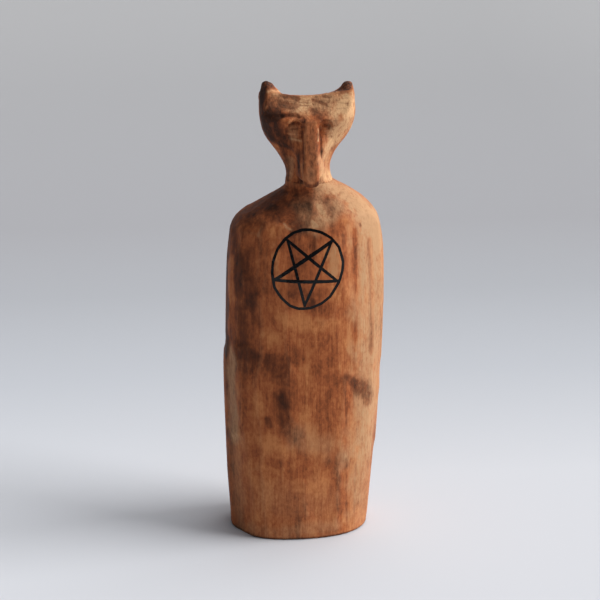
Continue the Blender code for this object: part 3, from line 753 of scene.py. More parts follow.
def carved_body_mesh():
    """The body as the knife left it, with its grooves still to be cut."""
    mesh = body_blank()
    points = points_of(mesh)
    normals = normals_of(mesh)
    height = points[:, 2]
    upright = step(0.5 * MM, 4 * MM, height) * step(BODY_TOP - 0.3 * MM, BODY_TOP - 4 * MM, height)

    # Broad planes first, a small step on the figure's right, and a swelling at the knot
    tree = tree_of(mesh)
    for *corners, strength, rows in BODY_PLANES:
        points = planed(points, path_on(tree, corners), strength, rows)
    places = pixels(points)
    sideways = normals @ np.array(RIGHT)
    lip = LIP_RISE * step(*LIP_TOP, places[:, 1]) * step(*LIP_FOOT, places[:, 1])
    lip -= LIP_HOLLOW_DEPTH * band(places, *LIP_HOLLOW)
    knot = KNOT_RISE * band(places, *KNOT) * step(0.1, 0.7, sideways)
    points = points + normals * (lip * step(-0.2, -0.8, sideways) + knot)[:, None]
    set_points(mesh, points)

    # Long knife facets down the column and shorter ones over the shoulders
    normals = normals_of(mesh)
    rng = np.random.default_rng(5)
    tree = tree_of(mesh)
    seeds, seed_normals = [], []
    for height, count, stray, offset in BODY_FACETS:
        for i in range(count):
            ray = oblong_ray(2 * math.pi * (i + rng.uniform(-0.3, 0.3) + offset) / count)
            start = Vector((0, 0, height * MM + rng.uniform(-stray * MM, stray * MM)))
            place, normal = tree.ray_cast(start + ray * OUTSIDE, -ray)[:2]
            seeds.append(place)
            seed_normals.append(tilted(normal, rng, 0.02))
    cut = whittled(
        points, normals, np.array(seeds), np.array(seed_normals),
        stretch=(1, 1, 2.2), reach=11 * MM, depth=0.12 * MM, softness=0.05 * MM,
    )
    cut = np.clip(cut, -0.5 * MM, 0.5 * MM)
    points = points + normals * (0.6 * cut * upright)[:, None]

    # The tool's ripple down the grain, and the small chips left on the shoulders and the upper chest
    hammered = ripple(points, (2.2, 2.2, 1.8), 7, 2)
    patch = near(pixels(points), HAMMERED) * step(0, -5 * MM, points[:, 1])
    chipped = step(122 * MM, 136 * MM, points[:, 2]) + 1.6 * patch
    relief = (
        0.16 * MM * ripple(points, (14, 14, 30), 1)
        + 0.06 * MM * ripple(points, (3.5, 3.5, 12), 2)
        + 0.12 * MM * chipped * np.abs(hammered)
        - 0.10 * MM * chipped * step(0.25, 0.7, hammered)
    )
    set_points(mesh, points + normals * (upright * relief)[:, None])
    return mesh


# Star and ring
def chest_block(mesh):
    """The chest's skin round the ring, thickened back into the body."""
    low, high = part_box("chest_ring")
    bm = bmesh.new()
    bm.from_mesh(mesh)
    away = []
    for face in bm.faces:
        middle = face.calc_center_median()
        across = low.x - CHEST_MARGIN < middle.x < high.x + CHEST_MARGIN
        upwards = low.z - CHEST_MARGIN < middle.z < high.z + CHEST_MARGIN
        if not (across and upwards and middle.y <= 0):
            away.append(face)
    bmesh.ops.delete(bm, geom=away, context="FACES")
    bmesh.ops.triangulate(bm, faces=bm.faces)
    made = bmesh.ops.extrude_face_region(bm, geom=bm.faces[:], use_keep_orig=True)["geom"]
    bmesh.ops.translate(bm, verts=verts_in(made), vec=(0, CHEST_THICKNESS, 0))
    return as_mesh("chest_block", bm)


def moved_back(mesh, distance):
    """A copy of a mesh, set back into the body."""
    moved = mesh.copy()
    moved.transform(Matrix.Translation((0, distance, 0)))
    return moved


def stroke_prism(start, end, width, sag, past):
    """One straight cut of the star, narrower at its ends and bowed a little.

    past makes it longer at both ends in y, so that no two solids end in the same plane.
    """
    bm = bmesh.new()
    bmesh.ops.create_cube(bm, size=1)
    long_edges = [e for e in bm.edges if abs(e.verts[0].co.x - e.verts[1].co.x) > 0.5]
    bmesh.ops.subdivide_edges(bm, edges=long_edges, cuts=7, use_grid_fill=True)
    run = Vector(end - start)
    start = Vector(start) - run.normalized() * STROKE_OVERRUN
    run += run.normalized() * 2 * STROKE_OVERRUN
    across = Vector((-run.z, 0, run.x)).normalized()
    for vert in bm.verts:
        share = vert.co.x + 0.5
        bulge = 1 - (2 * share - 1) ** 2
        half = width * (0.42 + 0.08 * bulge)
        place = start + run * share + across * (vert.co.z * 2 * half + sag * bulge)
        vert.co = Vector((place.x, INLAY_FRONT - past if vert.co.y < 0 else INLAY_BACK + past, place.z))
    return as_mesh("stroke", bm)


def loop_prism(loop, past):
    """An upright solid whose outline, seen from the front, is a loop of (x, z) points."""
    bm = bmesh.new()
    bmesh.ops.create_cone(bm, cap_ends=True, segments=len(loop), radius1=1, radius2=1, depth=2)
    for vert in bm.verts:
        x, z = on_loop(vert, loop)
        vert.co = Vector((x, INLAY_FRONT - past if vert.co.z < 0 else INLAY_BACK + past, z))
    return as_mesh("loop", bm)


def ring_prism(inner, outer, past):
    """The upright ring between two loops of (x, z) points."""
    bm = bmesh.new()
    bmesh.ops.create_circle(bm, segments=len(inner), radius=2)
    made = bmesh.ops.extrude_edge_only(bm, edges=bm.edges[:])["geom"]
    bmesh.ops.scale(bm, verts=verts_in(made), vec=(0.5, 0.5, 1))
    for vert in bm.verts:
        x, z = on_loop(vert, outer if vert.co.length > 1.5 else inner)
        vert.co = Vector((x, INLAY_FRONT - past, z))
    made = bmesh.ops.extrude_face_region(bm, geom=bm.faces[:], use_keep_orig=True)["geom"]
    bmesh.ops.translate(bm, verts=verts_in(made), vec=(0, INLAY_BACK - INLAY_FRONT + 2 * past, 0))
    return as_mesh("ring", bm)


def ring_loops(tree):
    """The inner and outer edge of the ring, as a knife left them."""
    knots = path_on(tree, RING_KNOTS)[:, [0, 2]]
    count = len(knots)
    fine = []
    for i in range(count):
        before, a, b, after = (knots[(i + j) % count] for j in (-1, 0, 1, 2))
        for t in np.arange(RING_FINENESS) / RING_FINENESS:
            bow = RING_BOW * t * (1 - t) * ((a - before) * (1 - t) - (after - b) * t)
            fine.append(a + (b - a) * t + bow)
    fine = np.array(fine)
    ahead = np.roll(fine, -1, 0) - np.roll(fine, 1, 0)
    outward = np.stack([ahead[:, 1], -ahead[:, 0]], 1) / np.linalg.norm(ahead, axis=1)[:, None]
    if ((fine - fine.mean(0)) * outward).sum() < 0:
        outward = -outward
    wander = [1 + RING_WANDER * noise.noise((i * 0.12, 3.3, 0)) for i in range(len(fine))]
    half = (RING_WIDTH / 2 * np.array(wander))[:, None]
    return fine - outward * half, fine + outward * half


def cut_and_fill(mesh):
    """Cuts the star and the ring into the body, and returns it with the two fillings."""
    tree = tree_of(mesh)
    tips = path_on(tree, STAR_TIPS)
    strokes = [
        stroke_prism(tips[i], tips[(i + 1) % len(tips)], width * MM, sag * MM, (i + 1) * 0.2 * MM)
        for i, (width, sag) in enumerate(STROKES)
    ]
    star = combined(strokes[0], *[("UNION", other) for other in strokes[1:]])
    inner, outer = ring_loops(tree)
    ring = ring_prism(inner, outer, 1.5 * MM)
    star_in_ring = combined(star, ("INTERSECT", loop_prism(inner, 2.0 * MM)))
    block = chest_block(mesh)
    core = moved_back(block, GROOVE_DEPTH)
    surface = moved_back(block, FILL_BELOW_WOOD)
    tool = combined(combined(ring, ("UNION", star)), ("DIFFERENCE", core))
    carved = combined(mesh, ("DIFFERENCE", tool))
    ring_fill = combined(ring, ("INTERSECT", surface), ("DIFFERENCE", core))
    star_fill = combined(star_in_ring, ("INTERSECT", surface), ("DIFFERENCE", core))
    return carved, ring_fill, star_fill


# Head and horns
def sunk_horn(name):
    """A CAD horn let down into the head, with a wider foot, so that the two blend."""
    bm = cad_copy(name)
    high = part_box(name)[1].z
    low = HEAD_TOP - 1.5 * MM
    seen = [v.co for v in bm.verts if v.co.z > low]
    middle = sum(seen, Vector()) / len(seen)
    for vert in bm.verts:
        share = min((high - vert.co.z) / (high - low), 1.2)
        if vert.co.z > low - 2 * MM and (vert.co.xy - middle.xy).length > 2 * MM:
            vert.co.x += (vert.co.x - middle.x) * HORN_WIDENING * share
            vert.co.y += (vert.co.y - middle.y) * HORN_WIDENING * share
        vert.co.z -= HORN_SINK * share
    return as_mesh(name, bm)


def flank_wedge(tree):
    """The wood that slopes from the muzzle's edge back to the neck, as a wedge."""
    bm = bmesh.new()
    for front, foot in FLANK:
        edge, root = Vector(on_surface(tree, *front)), Vector(on_surface(tree, *foot))
        bm.verts.new(edge)
        bm.verts.new(root)
        bm.verts.new((edge.x - 2 * MM, root.y + 2 * MM, edge.z))
    bmesh.ops.convex_hull(bm, input=bm.verts[:])
    return as_mesh("wedge", bm)


def head_blank():
    """The CAD head and horns in one even skin, without the tenon that the body hides."""
    bm = cad_copy("head")
    bmesh.ops.bisect_plane(
        bm,
        geom=bm.verts[:] + bm.edges[:] + bm.faces[:],
        plane_co=(0, 0, BODY_TOP - 1.2 * MM),
        plane_no=(0, 0, 1),
        clear_inner=True,
    )
    bmesh.ops.holes_fill(bm, edges=[e for e in bm.edges if e.is_boundary])
    whole = combined(as_mesh("head_blank", bm), *[("UNION", sunk_horn(name)) for name in HORNS])
    whole = combined(whole, ("UNION", flank_wedge(tree_of(whole))))
    mesh = remeshed(whole, HEAD_VOXEL)

    # The sockets of the pegs stay inside as separate shells, which are cleared
    bm = bmesh.new()
    bm.from_mesh(mesh)
    seen, shells = set(), []
    for start in bm.verts:
        if start in seen:
            continue
        shell, front = {start}, [start]
        while front:
            vert = front.pop()
            for edge in vert.link_edges:
                other = edge.other_vert(vert)
                if other not in shell:
                    shell.add(other)
                    front.append(other)
        seen |= shell
        shells.append(shell)
    shells.sort(key=len)
    inner = [vert for shell in shells[:-1] for vert in shell]
    bmesh.ops.delete(bm, geom=inner, context="VERTS")
    return as_mesh("head_skin", bm)


def horn_skirt(name):
    """The space that a horn takes out of the carved head: the CAD horn, swollen."""
    bm = cad_copy(name)
    bm.normal_update()
    for vert in bm.verts:
        vert.co += vert.normal * HORN_SKIRT
    return remeshed(as_mesh("skirt", bm), SKIRT_VOXEL)


def parted(whole):
    """Parts the horns from the head along the edge of their skirts."""
    skirts = [horn_skirt(name) for name in HORNS]
    head = combined(whole, *[("DIFFERENCE", skirt) for skirt in skirts])
    return head, [combined(whole, ("INTERSECT", skirt)) for skirt in skirts]


def gaps_to(mesh, points):
    """How far points lie from a mesh."""
    tree = tree_of(mesh)
    return np.array([tree.find_nearest(p)[3] for p in points])


def pressed(points, tree, path, width, depth, ends=0.12):
    """How deep a tool goes at each point, or below 0 how much it leaves standing.

    path and half width are in pixels of the picture, and depth is in mm. It fades out at both ends.
    """
    nearest, along = from_path(points, path_on(tree, path))
    share = np.exp(-((nearest / (width * PIXEL)) ** 2)) * step(0, ends, along) * step(1, 1 - ends, along)
    return share * depth * MM


def shelved(points, facing, path, fall, depth, side):
    """Points on one side of a path of the picture set back, most beside the path.

    fall is how far the step runs out, in pixels, and depth is in mm.
    """
    places = pixels(points)
    path = np.array(path, float)
    nearest = np.full(len(points), 1e9)
    signed = np.zeros(len(points))
    for a, b in zip(path, path[1:]):
        run = b - a
        t = np.clip((places - a) @ run / (run @ run), 0, 1)
        gap = places - a - t[:, None] * run
        distance = np.linalg.norm(gap, axis=1)
        closer = distance < nearest
        nearest[closer] = distance[closer]
        signed[closer] = (np.sign(run[0] * gap[:, 1] - run[1] * gap[:, 0]) * distance)[closer]
    axis = int(np.ptp(path[:, 1]) > np.ptp(path[:, 0]))
    low, high = path[:, axis].min(), path[:, axis].max()
    within = step(low - 1, low + 5, places[:, axis]) * step(high + 4, high - 1, places[:, axis])
    share = step(-1.8, 2.2, signed * side) * np.exp(-np.maximum(signed * side, 0) / fall)
    return points + np.array((0, 1, 0)) * (share * within * facing * depth * MM)[:, None]


def head_facets(mesh, points, normals):
    """Knife facets: long ones up the neck and the back, level ones over the forehead."""
    rng = np.random.default_rng(11)
    tree = tree_of(mesh)
    low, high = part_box("head")
    middle = (low + high) / 2
    seeds, seed_normals = [], []
    for height, count in HEAD_FACETS:
        for i in range(count):
            turn = 2 * math.pi * (i + rng.uniform(-0.25, 0.25)) / count
            ray = Vector((math.cos(turn), math.sin(turn), 0))
            start = Vector((middle.x, middle.y, height + rng.uniform(-1, 1) * MM))
            place, normal = tree.ray_cast(start + ray * HEAD_OUTSIDE, -ray)[:2]
            if place:
                seeds.append(place)
                seed_normals.append(tilted(normal, rng, 0.03))
    for x, y in FOREHEAD_FACETS:
        place = on_surface(tree, x + rng.uniform(-2, 2), y + rng.uniform(-1, 1))
        seeds.append(place)
        seed_normals.append(tilted(tree.find_nearest(Vector(place))[1], rng, 0.022))
    return whittled(
        points, normals, np.array(seeds), np.array(seed_normals),
        stretch=(1, 1, 1.5), reach=9 * MM, depth=0.06 * MM, softness=0.06 * MM,
    )


def crowned(points):
    """Points of the crown raised towards the horns."""
    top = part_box("right_horn")[1].z
    beside = np.clip((np.abs(pixels(points)[:, 0] - CROWN_LOW) - 6) / 24, 0, 1)
    height = points[:, 2]
    rise = beside**1.5 * CROWN_RISE
    rise *= step(HEAD_TOP - 7 * MM, HEAD_TOP - 1 * MM, height) * step(top, HEAD_TOP + 1 * MM, height)
    points[:, 2] += rise
    return points


def horns_blended(mesh, edges, points, to_horns):
    """Points with the horns run into the crown and the temples, and the edges softened."""
    seam = step(3.4 * MM, 1.2 * MM, np.abs(points[:, 2] - HEAD_TOP + 0.6 * MM))
    joint = step(2.4 * MM, 0.8 * MM, to_horns) * seam
    points = smoothed(points, edges, 26, joint)
    set_points(mesh, points)
    places = pixels(points)
    facing = step(*HEAD_FACING, turned(normals_of(mesh)))
    above = np.maximum(near(places, *TEMPLES), near(places, BROW) * facing)
    points = smoothed(points, edges, 24, above)
    points = smoothed(points, edges, 50, near(places, UNDER_BROW) * facing)
    set_points(mesh, points)
    tree = tree_of(mesh)
    for *corners, strength, rows in HEAD_PLANES:
        points = planed(points, path_on(tree, corners), strength, rows)
    points = smoothed(points, edges, 10, near(pixels(points), *TEMPLE_RIDGES))
    set_points(mesh, points)

    # Edges softened by handling
    sharp = smoothed(np.abs(bend(mesh, edges)), edges, 2)
    return smoothed(points, edges, 8, step(0.006, 0.03, sharp))


def tips_narrowed(points):
    """Points of the horns' tips drawn out towards their outer side."""
    for name in HORNS:
        low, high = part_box(name)
        middle = (low + high) / 2
        own = np.abs(points[:, 0] - middle.x) < 9 * MM
        outer = points[own & (points[:, 2] > high.z - 2.5 * MM), 0]
        outer = outer.min() if middle.x < 0 else outer.max()
        tip = step(high.z - 4.4 * MM, high.z - 1.5 * MM, points[:, 2]) * TIP_NARROWING[name] * own
        points[:, 0] -= (points[:, 0] - outer) * tip
    return points


def head_whittled(mesh, edges, points, to_horns):
    """Points after the knife, with the tool's ripple, and how much each faces the picture."""
    normals = smoothed(normals_of(mesh), edges, 6)
    cut = np.clip(head_facets(mesh, points, normals), -0.25 * MM, 0.3 * MM)
    below_crown = step(HEAD_TOP - 0.2 * MM, HEAD_TOP - 2.2 * MM, points[:, 2])
    points = points + normals * (0.55 * cut * below_crown * step(1.5 * MM, 3 * MM, to_horns))[:, None]
    facing = step(*HEAD_FACING, turned(normals))
    forehead = facing * near(pixels(points), FOREHEAD)
    slant = points @ np.array(((1, 0, 0.10), (0, 1, 0), (-0.10, 0, 1)))
    relief = (
        0.05 * MM * ripple(points, (2.6, 2.6, 4), 3, 2)
        + 0.10 * MM * forehead * ripple(slant, (8, 5, 1.3), 4, 2)
    )
    return points + normals * relief[:, None], facing


def snout_shaped(edges, points, facing, nose):
    """Points with the sockets softened, the cheeks and the neck set back, and the muzzle rounded."""
    places = pixels(points)
    sides = np.maximum(near(places, *SOCKETS), 0.8 * near(places, *CHEEKS))
    points = smoothed(points, edges, 24, sides * facing)
    points = shelved(points, facing, BROW_RIGHT, 15, 1.1, 1)
    points = shelved(points, facing, JAW_RIGHT, 9, 1.1, 1)
    points = shelved(points, facing, JAW_LEFT, 6, 0.6, -1)

    # The muzzle widens downwards and has rounded edges
    places = pixels(points)
    muzzle = near(places, MUZZLE) * facing
    points[:, 0] += (points[:, 0] - nose[0]) * MUZZLE_WIDENING * muzzle * step(140, 178, places[:, 1])
    points = smoothed(points, edges, 8, muzzle)

    # The nose is rounded off below
    aside = np.abs(points[:, 0] - nose[0]) / NOSE_HALF
    front = step(nose[1] + 4.5 * MM, nose[1] + 2.5 * MM, points[:, 1])
    below = step(nose[2] + 3.5 * MM, nose[2] - 2.5 * MM, points[:, 2])
    points[:, 2] += (np.clip(aside, 0, 1.5) ** 3 * NOSE_ROUNDING - NOSE_DROP) * front * below
    places = pixels(points)
    flanks = np.maximum(near(places, FLANK_LEFT), 0.8 * near(places, FLANK_RIGHT))
    points = smoothed(points, edges, 30, flanks * facing)
    return smoothed(points, edges, 2, amount=0.3)


def neck_run_out(edges, points, normals, nose):
    """Points with the foot of the neck run out over the shoulders."""
    level = smoothed(normals, edges, 10)
    level[:, 2] = 0
    level /= np.maximum(np.linalg.norm(level, axis=1), 1e-6)[:, None]
    behind = 1 - step(nose[1] + 5.5 * MM, nose[1] + 3.5 * MM, points[:, 1])
    run = np.clip(1 - (points[:, 2] - BODY_TOP) / NECK_RUN, 0, 1.1) ** 2 * behind
    points += level * (run * NECK_SPREAD)[:, None]
    points[:, 2] -= run * NECK_DROP
    return points


def carved_head_mesh():
    """The head and the horns as one carved skin."""
    mesh = head_blank()
    edges = edges_of(mesh)
    points = crowned(smoothed(points_of(mesh), edges, 2, amount=0.4))
    to_horns = gaps_to(as_mesh("horns", cad_copy(*HORNS)), points)
    points = horns_blended(mesh, edges, points, to_horns)
    points = tips_narrowed(points)
    set_points(mesh, points)
    points, facing = head_whittled(mesh, edges, points, to_horns)
    set_points(mesh, points)
    nose = on_surface(tree_of(mesh), *NOSE_MIDDLE)
    set_points(mesh, snout_shaped(edges, points, facing, nose))

    # Knife lines
    points = points_of(mesh)
    normals = smoothed(normals_of(mesh), edges, 3)
    tree = tree_of(mesh)
    depths = sum(pressed(points, tree, path, width, depth) for path, width, depth in HEAD_STROKES)
    points = neck_run_out(edges, points - normals * depths[:, None], normals, nose)
    points = smoothed(points, edges, 26, near(pixels(points), JAW) * facing)
    set_points(mesh, smoothed(points, edges, 1, amount=0.25))
    return mesh


# Materials
def hue(code):
    """An sRGB hex colour as a linear one."""
    parts = [int(code[i : i + 2], 16) / 255 for i in (1, 3, 5)]
    return (*(c / 12.92 if c <= 0.04045 else ((c + 0.055) / 1.055) ** 2.4 for c in parts), 1)


def add(tree, kind, links=(), stops=(), **settings):
    """Adds a node with its settings. links gives each input a value or another node's output."""
    node = tree.nodes.new(kind)
    for key, value in settings.items():
        setattr(node, key, value)
    for key, source in dict(links).items():
        if isinstance(source, bpy.types.NodeSocket):
            tree.links.new(source, node.inputs[key])
        else:
            node.inputs[key].default_value = source
    if stops:
        elements = node.color_ramp.elements
        while len(elements) < len(stops):
            elements.new(0.5)
        for element, (place, colour) in zip(elements, stops):
            element.position = place
            element.color = colour
    return node


def grey(value):
    """A grey as a linear colour."""
    return (value, value, value, 1)


def new_material(name):
    """A material, with its node tree and its shader."""
    made = bpy.data.materials.new(name)
    made.use_nodes = True
    return made, made.node_tree, made.node_tree.nodes["Principled BSDF"]


# The grain's patterns: width and length in mm, detail, twist, how much each lightens the stain, and how
# much more where the fibres are up. Fibres are 0.04 mm wide, drawn 0.7 mm wide so that they show.
GRAIN = {
    "streaks": (3.8, 34, 3.0, 0.3, 0.42, 0.0),
    "blotches": (12, 18, 6.0, 0.6, 1.10, 0.0),
    "specks": (1.3, 2.0, 3.0, 0.3, 0.60, 0.30),
    "fibres": (0.7, 9, 3.0, 0.0, 0.34, 0.20),
}
# Growth bands: how far apart they are, the x and y of the pith, how much a band darkens the stain, and
# the mean of their pattern
BAND_SPACING = 3.1 * MM
PITH = (-0.090, 0.020)
BAND_SHARE = 0.08
BAND_MEAN = 0.4


def stained_wood(name, scrape, rough, dark, deep, middle, light, pale, horn):
    """Softwood, knife-carved, stained brown and waxed.

    The stain takes unevenly: blotches and streaks of dark and orange brown over the growth bands,
    with fine fibres, and a low sheen. Where it is rubbed or bare, and where light is painted on, the
    wood is a greyish tan, and painted shade darkens it along with the stain. Rough is 1 where the
    blade left the fibres up, and less where they are smoothed down.
    """
    made, tree, shader = new_material(name)
    place = add(tree, "ShaderNodeTexCoord").outputs["Object"]
    grain = {}
    for pattern, (width, length, detail, twist, *_) in GRAIN.items():
        scale = (1 / (width * MM), 1 / (width * MM), 1 / (length * MM))
        space = add(tree, "ShaderNodeMapping", {"Vector": place, "Scale": scale}).outputs[0]
        grain[pattern] = add(
            tree,
            "ShaderNodeTexNoise",
            {"Vector": space, "Scale": 1.0, "Detail": detail, "Roughness": 0.6, "Distortion": twist},
        ).outputs["Fac"]

    # Scrapes of a blade, a little out of level, or specks where all three sizes are alike
    scale = [1 / (size * MM) for size in scrape]
    across = add(
        tree,
        "ShaderNodeMapping",
        {"Vector": place, "Rotation": (0, math.radians(-7), 0), "Scale": scale},
    ).outputs[0]
    scrapes = add(
        tree, "ShaderNodeTexNoise", {"Vector": across, "Scale": 1.0, "Detail": 4.0, "Roughness": 0.65}
    ).outputs["Fac"]

    # Growth bands round a pith off to the figure's right. A wave's scale is pi / 10 over its spacing.
    log = add(
        tree,
        "ShaderNodeMapping",
        {"Vector": place, "Location": (-PITH[0], -PITH[1], 0), "Scale": (1, 1, 0.10)},
    ).outputs[0]
    bands = add(
        tree,
        "ShaderNodeTexWave",
        {"Vector": log, "Scale": 0.1 * math.pi / BAND_SPACING, "Distortion": 2.2, "Detail": 2.0,
         "Detail Scale": 0.25, "Detail Roughness": 0.55},
        wave_type="RINGS",
        rings_direction="Z",
        wave_profile="SAW",
    ).outputs["Fac"]
    late = add(
        tree,
        "ShaderNodeValToRGB",
        {"Fac": bands},
        stops=[(0.0, grey(0.2)), (0.3, grey(0)), (0.7, grey(0.6)), (0.92, grey(1)), (1.0, grey(0.2))],
    ).outputs["Color"]

    # How light the stain is at each place: the patterns' sum about 0, calmer where the stain soaked
    # in and where shade is painted, and there also darker
    marks = {
        kind: add(tree, "ShaderNodeAttribute", attribute_name=kind).outputs["Fac"]
        for kind in ("soak", "pale", "scraped", "dark")
    }
    shares = {pattern: share + more * rough for pattern, (*_, share, more) in GRAIN.items()}
    patterns = [(grain[pattern], share) for pattern, share in shares.items()]
    uneven = BAND_SHARE * BAND_MEAN - sum(shares.values()) / 2
    for source, share in [*patterns, (late, -BAND_SHARE)]:
        uneven = add(
            tree, "ShaderNodeMath", {0: source, 1: share, 2: uneven}, operation="MULTIPLY_ADD"
        ).outputs[0]
    calm = add(
        tree,
        "ShaderNodeMapRange",
        {"Value": marks["soak"], "From Max": 1.2, "To Min": 1.0, "To Max": 0.5 + 0.2 * rough},
    ).outputs[0]
    even = add(
        tree, "ShaderNodeMath", {0: marks["soak"], 1: -0.38, 2: 0.56}, operation="MULTIPLY_ADD"
    ).outputs[0]
    tone = add(
        tree, "ShaderNodeMath", {0: uneven, 1: calm, 2: even}, operation="MULTIPLY_ADD"
    ).outputs[0]
    stained = add(
        tree,
        "ShaderNodeValToRGB",
        {"Fac": tone},
        stops=[(0.0, hue(dark)), (0.22, hue(deep)), (0.5, hue(middle)), (0.82, hue(light))],
    ).outputs["Color"]

    # Rubbed wood and painted light show through where the fibres stand up, then the scrapes and the
    # horns' dark stain
    raised = add(
        tree, "ShaderNodeMath", {0: grain["specks"], 1: grain["fibres"]}, operation="ADD"
    ).outputs[0]
    standing = add(
        tree,
        "ShaderNodeMath",
        {0: raised, 1: 1.2 + 0.6 * rough, 2: -0.35 - 0.6 * rough},
        operation="MULTIPLY_ADD",
    ).outputs[0]
    lines = add(
        tree,
        "ShaderNodeMapRange",
        {"Value": scrapes, "From Min": 0.48, "From Max": 0.66, "To Max": 0.70},
    ).outputs[0]
    finish = stained
    for kind, pattern, colour in (
        ("pale", standing, pale),
        ("scraped", lines, deep),
        ("dark", standing, horn),
    ):
        cover = add(
            tree, "ShaderNodeMath", {0: marks[kind], 1: pattern}, operation="MULTIPLY", use_clamp=True
        ).outputs[0]
        finish = add(
            tree, "ShaderNodeMix", {0: cover, 6: finish, 7: hue(colour)}, data_type="RGBA"
        ).outputs[2]
    tree.links.new(finish, shader.inputs["Base Color"])

    # A low waxed sheen, a little uneven, over fibres that can be felt
    shader.inputs["Specular IOR Level"].default_value = 0.09
    sheen = add(
        tree,
        "ShaderNodeMapRange",
        {"Value": grain["specks"], "From Min": 0.3, "From Max": 0.7, "To Min": 0.48, "To Max": 0.68},
    ).outputs[0]
    tree.links.new(sheen, shader.inputs["Roughness"])
    bump = add(
        tree,
        "ShaderNodeBump",
        {"Height": raised, "Strength": 0.35 + 0.25 * rough, "Distance": 0.25 * MM},
    ).outputs[0]
    tree.links.new(bump, shader.inputs["Normal"])
    return made


def black_enamel():
    """Gloss enamel run into the cut by brush: deep black, with soft glints from its uneven skin."""
    made, tree, shader = new_material("black_gloss_enamel")
    place = add(tree, "ShaderNodeTexCoord").outputs["Object"]
    skin = add(
        tree, "ShaderNodeTexNoise", {"Vector": place, "Scale": 1 / (1.5 * MM), "Detail": 2.0}
    ).outputs["Fac"]
    bump = add(
        tree, "ShaderNodeBump", {"Height": skin, "Strength": 0.35, "Distance": 0.3 * MM}
    ).outputs[0]
    tree.links.new(bump, shader.inputs["Normal"])
    shader.inputs["Base Color"].default_value = hue("#060607")
    shader.inputs["Specular IOR Level"].default_value = 0.22
    shader.inputs["Roughness"].default_value = 0.14
    return made


def studio_paper():
    """Matt backdrop paper, cool grey, paler towards the camera: painted shade darkens it further back."""
    made, tree, shader = new_material("studio_paper")
    place = add(tree, "ShaderNodeTexCoord").outputs["Object"]
    parts = add(tree, "ShaderNodeSeparateXYZ", {0: place}).outputs
    share = add(
        tree, "ShaderNodeMapRange", {"Value": parts["Y"], "From Min": -0.4, "From Max": 1.2}
    ).outputs[0]
    # Painted shade: the paper is darker further back, and a little less so at the top of the wall
    tone = add(
        tree,
        "ShaderNodeValToRGB",
        {"Fac": share},
        stops=[
            (0.0, hue("#DCDDE2")), (0.28, hue("#DADCE1")), (0.37, hue("#C5C8CE")),
            (0.46, hue("#B5B7BC")), (0.55, hue("#AFAFB3")), (1.0, hue("#B9B9BA")),
        ],
    ).outputs["Color"]

    # Painted shade: a little darker towards the window lamp, so that it is paler on the figure's right
    level = add(
        tree,
        "ShaderNodeMapRange",
        {"Value": parts["X"], "From Min": -0.25, "From Max": 0.25, "To Min": 1.0, "To Max": 0.80},
    ).outputs[0]
    paper = add(tree, "ShaderNodeVectorMath", {0: tone, "Scale": level}, operation="SCALE").outputs[0]
    tree.links.new(paper, shader.inputs["Base Color"])
    shader.inputs["Roughness"].default_value = 0.9
    shader.inputs["Specular IOR Level"].default_value = 0.2
    return made


# Painting
def painted(points, facing, tree, marks, seed, soft=1.45, hard=0.25):
    """How strongly brush marks of the picture cover each point, with ragged edges.

    A mark fades out between the shares hard and soft of its half width. Narrow marks are less ragged.
    """
    ragged = 0.45 * ripple(points, (5, 5, 8), seed, 3)
    total = np.zeros(len(points))
    for path, width, strength in marks:
        nearest, _ = from_path(points, path_on(tree, path))
        edge = nearest / (width * PIXEL) + ragged * min(width / 6, 1)
        total += strength * step(soft, hard, edge)
    return total * facing


def carried(values, source, target):
    """Values of one mesh's vertices, taken over by the nearest vertices of another."""
    places = points_of(source)
    tree = KDTree(len(places))
    for i, place in enumerate(places):
        tree.insert(place, i)
    tree.balance()
    return values[[tree.find(place)[1] for place in points_of(target)]]


def paint(mesh, **layers):
    """Stores a value for each vertex in every layer that the wood's material reads."""
    for name, values in layers.items():
        layer = mesh.attributes.new(name, "FLOAT", "POINT")
        layer.data.foreach_set("value", np.clip(values, -LAYER_LIMIT, LAYER_LIMIT).astype(np.float32))


def surface_of(mesh, skin):
    """How far each vertex is turned to the picture, from 1 to -1, and from 0 to 1 how deep in a cut it
    lies and how far out on an edge, all taken from the carved skin that the mesh was cut from."""
    edges = edges_of(skin)
    bent = smoothed(bend(skin, edges), edges, 2)
    rows = np.stack([turned(normals_of(skin)), step(0.003, 0.020, bent), step(-0.004, -0.020, bent)], 1)
    return carried(rows, skin, mesh).T


def paint_body(mesh, skin):
    """Paints the body. Painted shade darkens the foot's edge by the floor, and the stain goes in more in
    the cuts.
    """
    points = points_of(mesh)
    tree = tree_of(skin)
    front, cut, edge = surface_of(mesh, skin)
    facing = step(-0.70, -0.05, front)
    behind = 1 - facing
    # Painted shade: the foot's edge darkened where it stands on the floor
    foot = step(1.5 * MM, 0.5 * MM, points[:, 2])
    away = behind * 0.45 * ripple(points, (13, 13, 26), 21, 3)
    marks = painted(points, facing, tree, BODY_SOAK_AND_SHADE, 31, 1.4, 0.4)
    soak = marks + away + CUT_SOAK * cut + 1.0 * foot
    pale = painted(points, facing, tree, BODY_PALE_AND_LIT, 32) + 0.10 * edge + 0.40 * behind
    pale *= 1 - 0.7 * step(*SOAKED_AND_SHADED, marks)
    speckled = painted(points, facing, tree, BODY_SPECKLED, 33)
    paint(mesh, soak=soak, pale=pale, scraped=speckled, dark=np.zeros(len(points)))


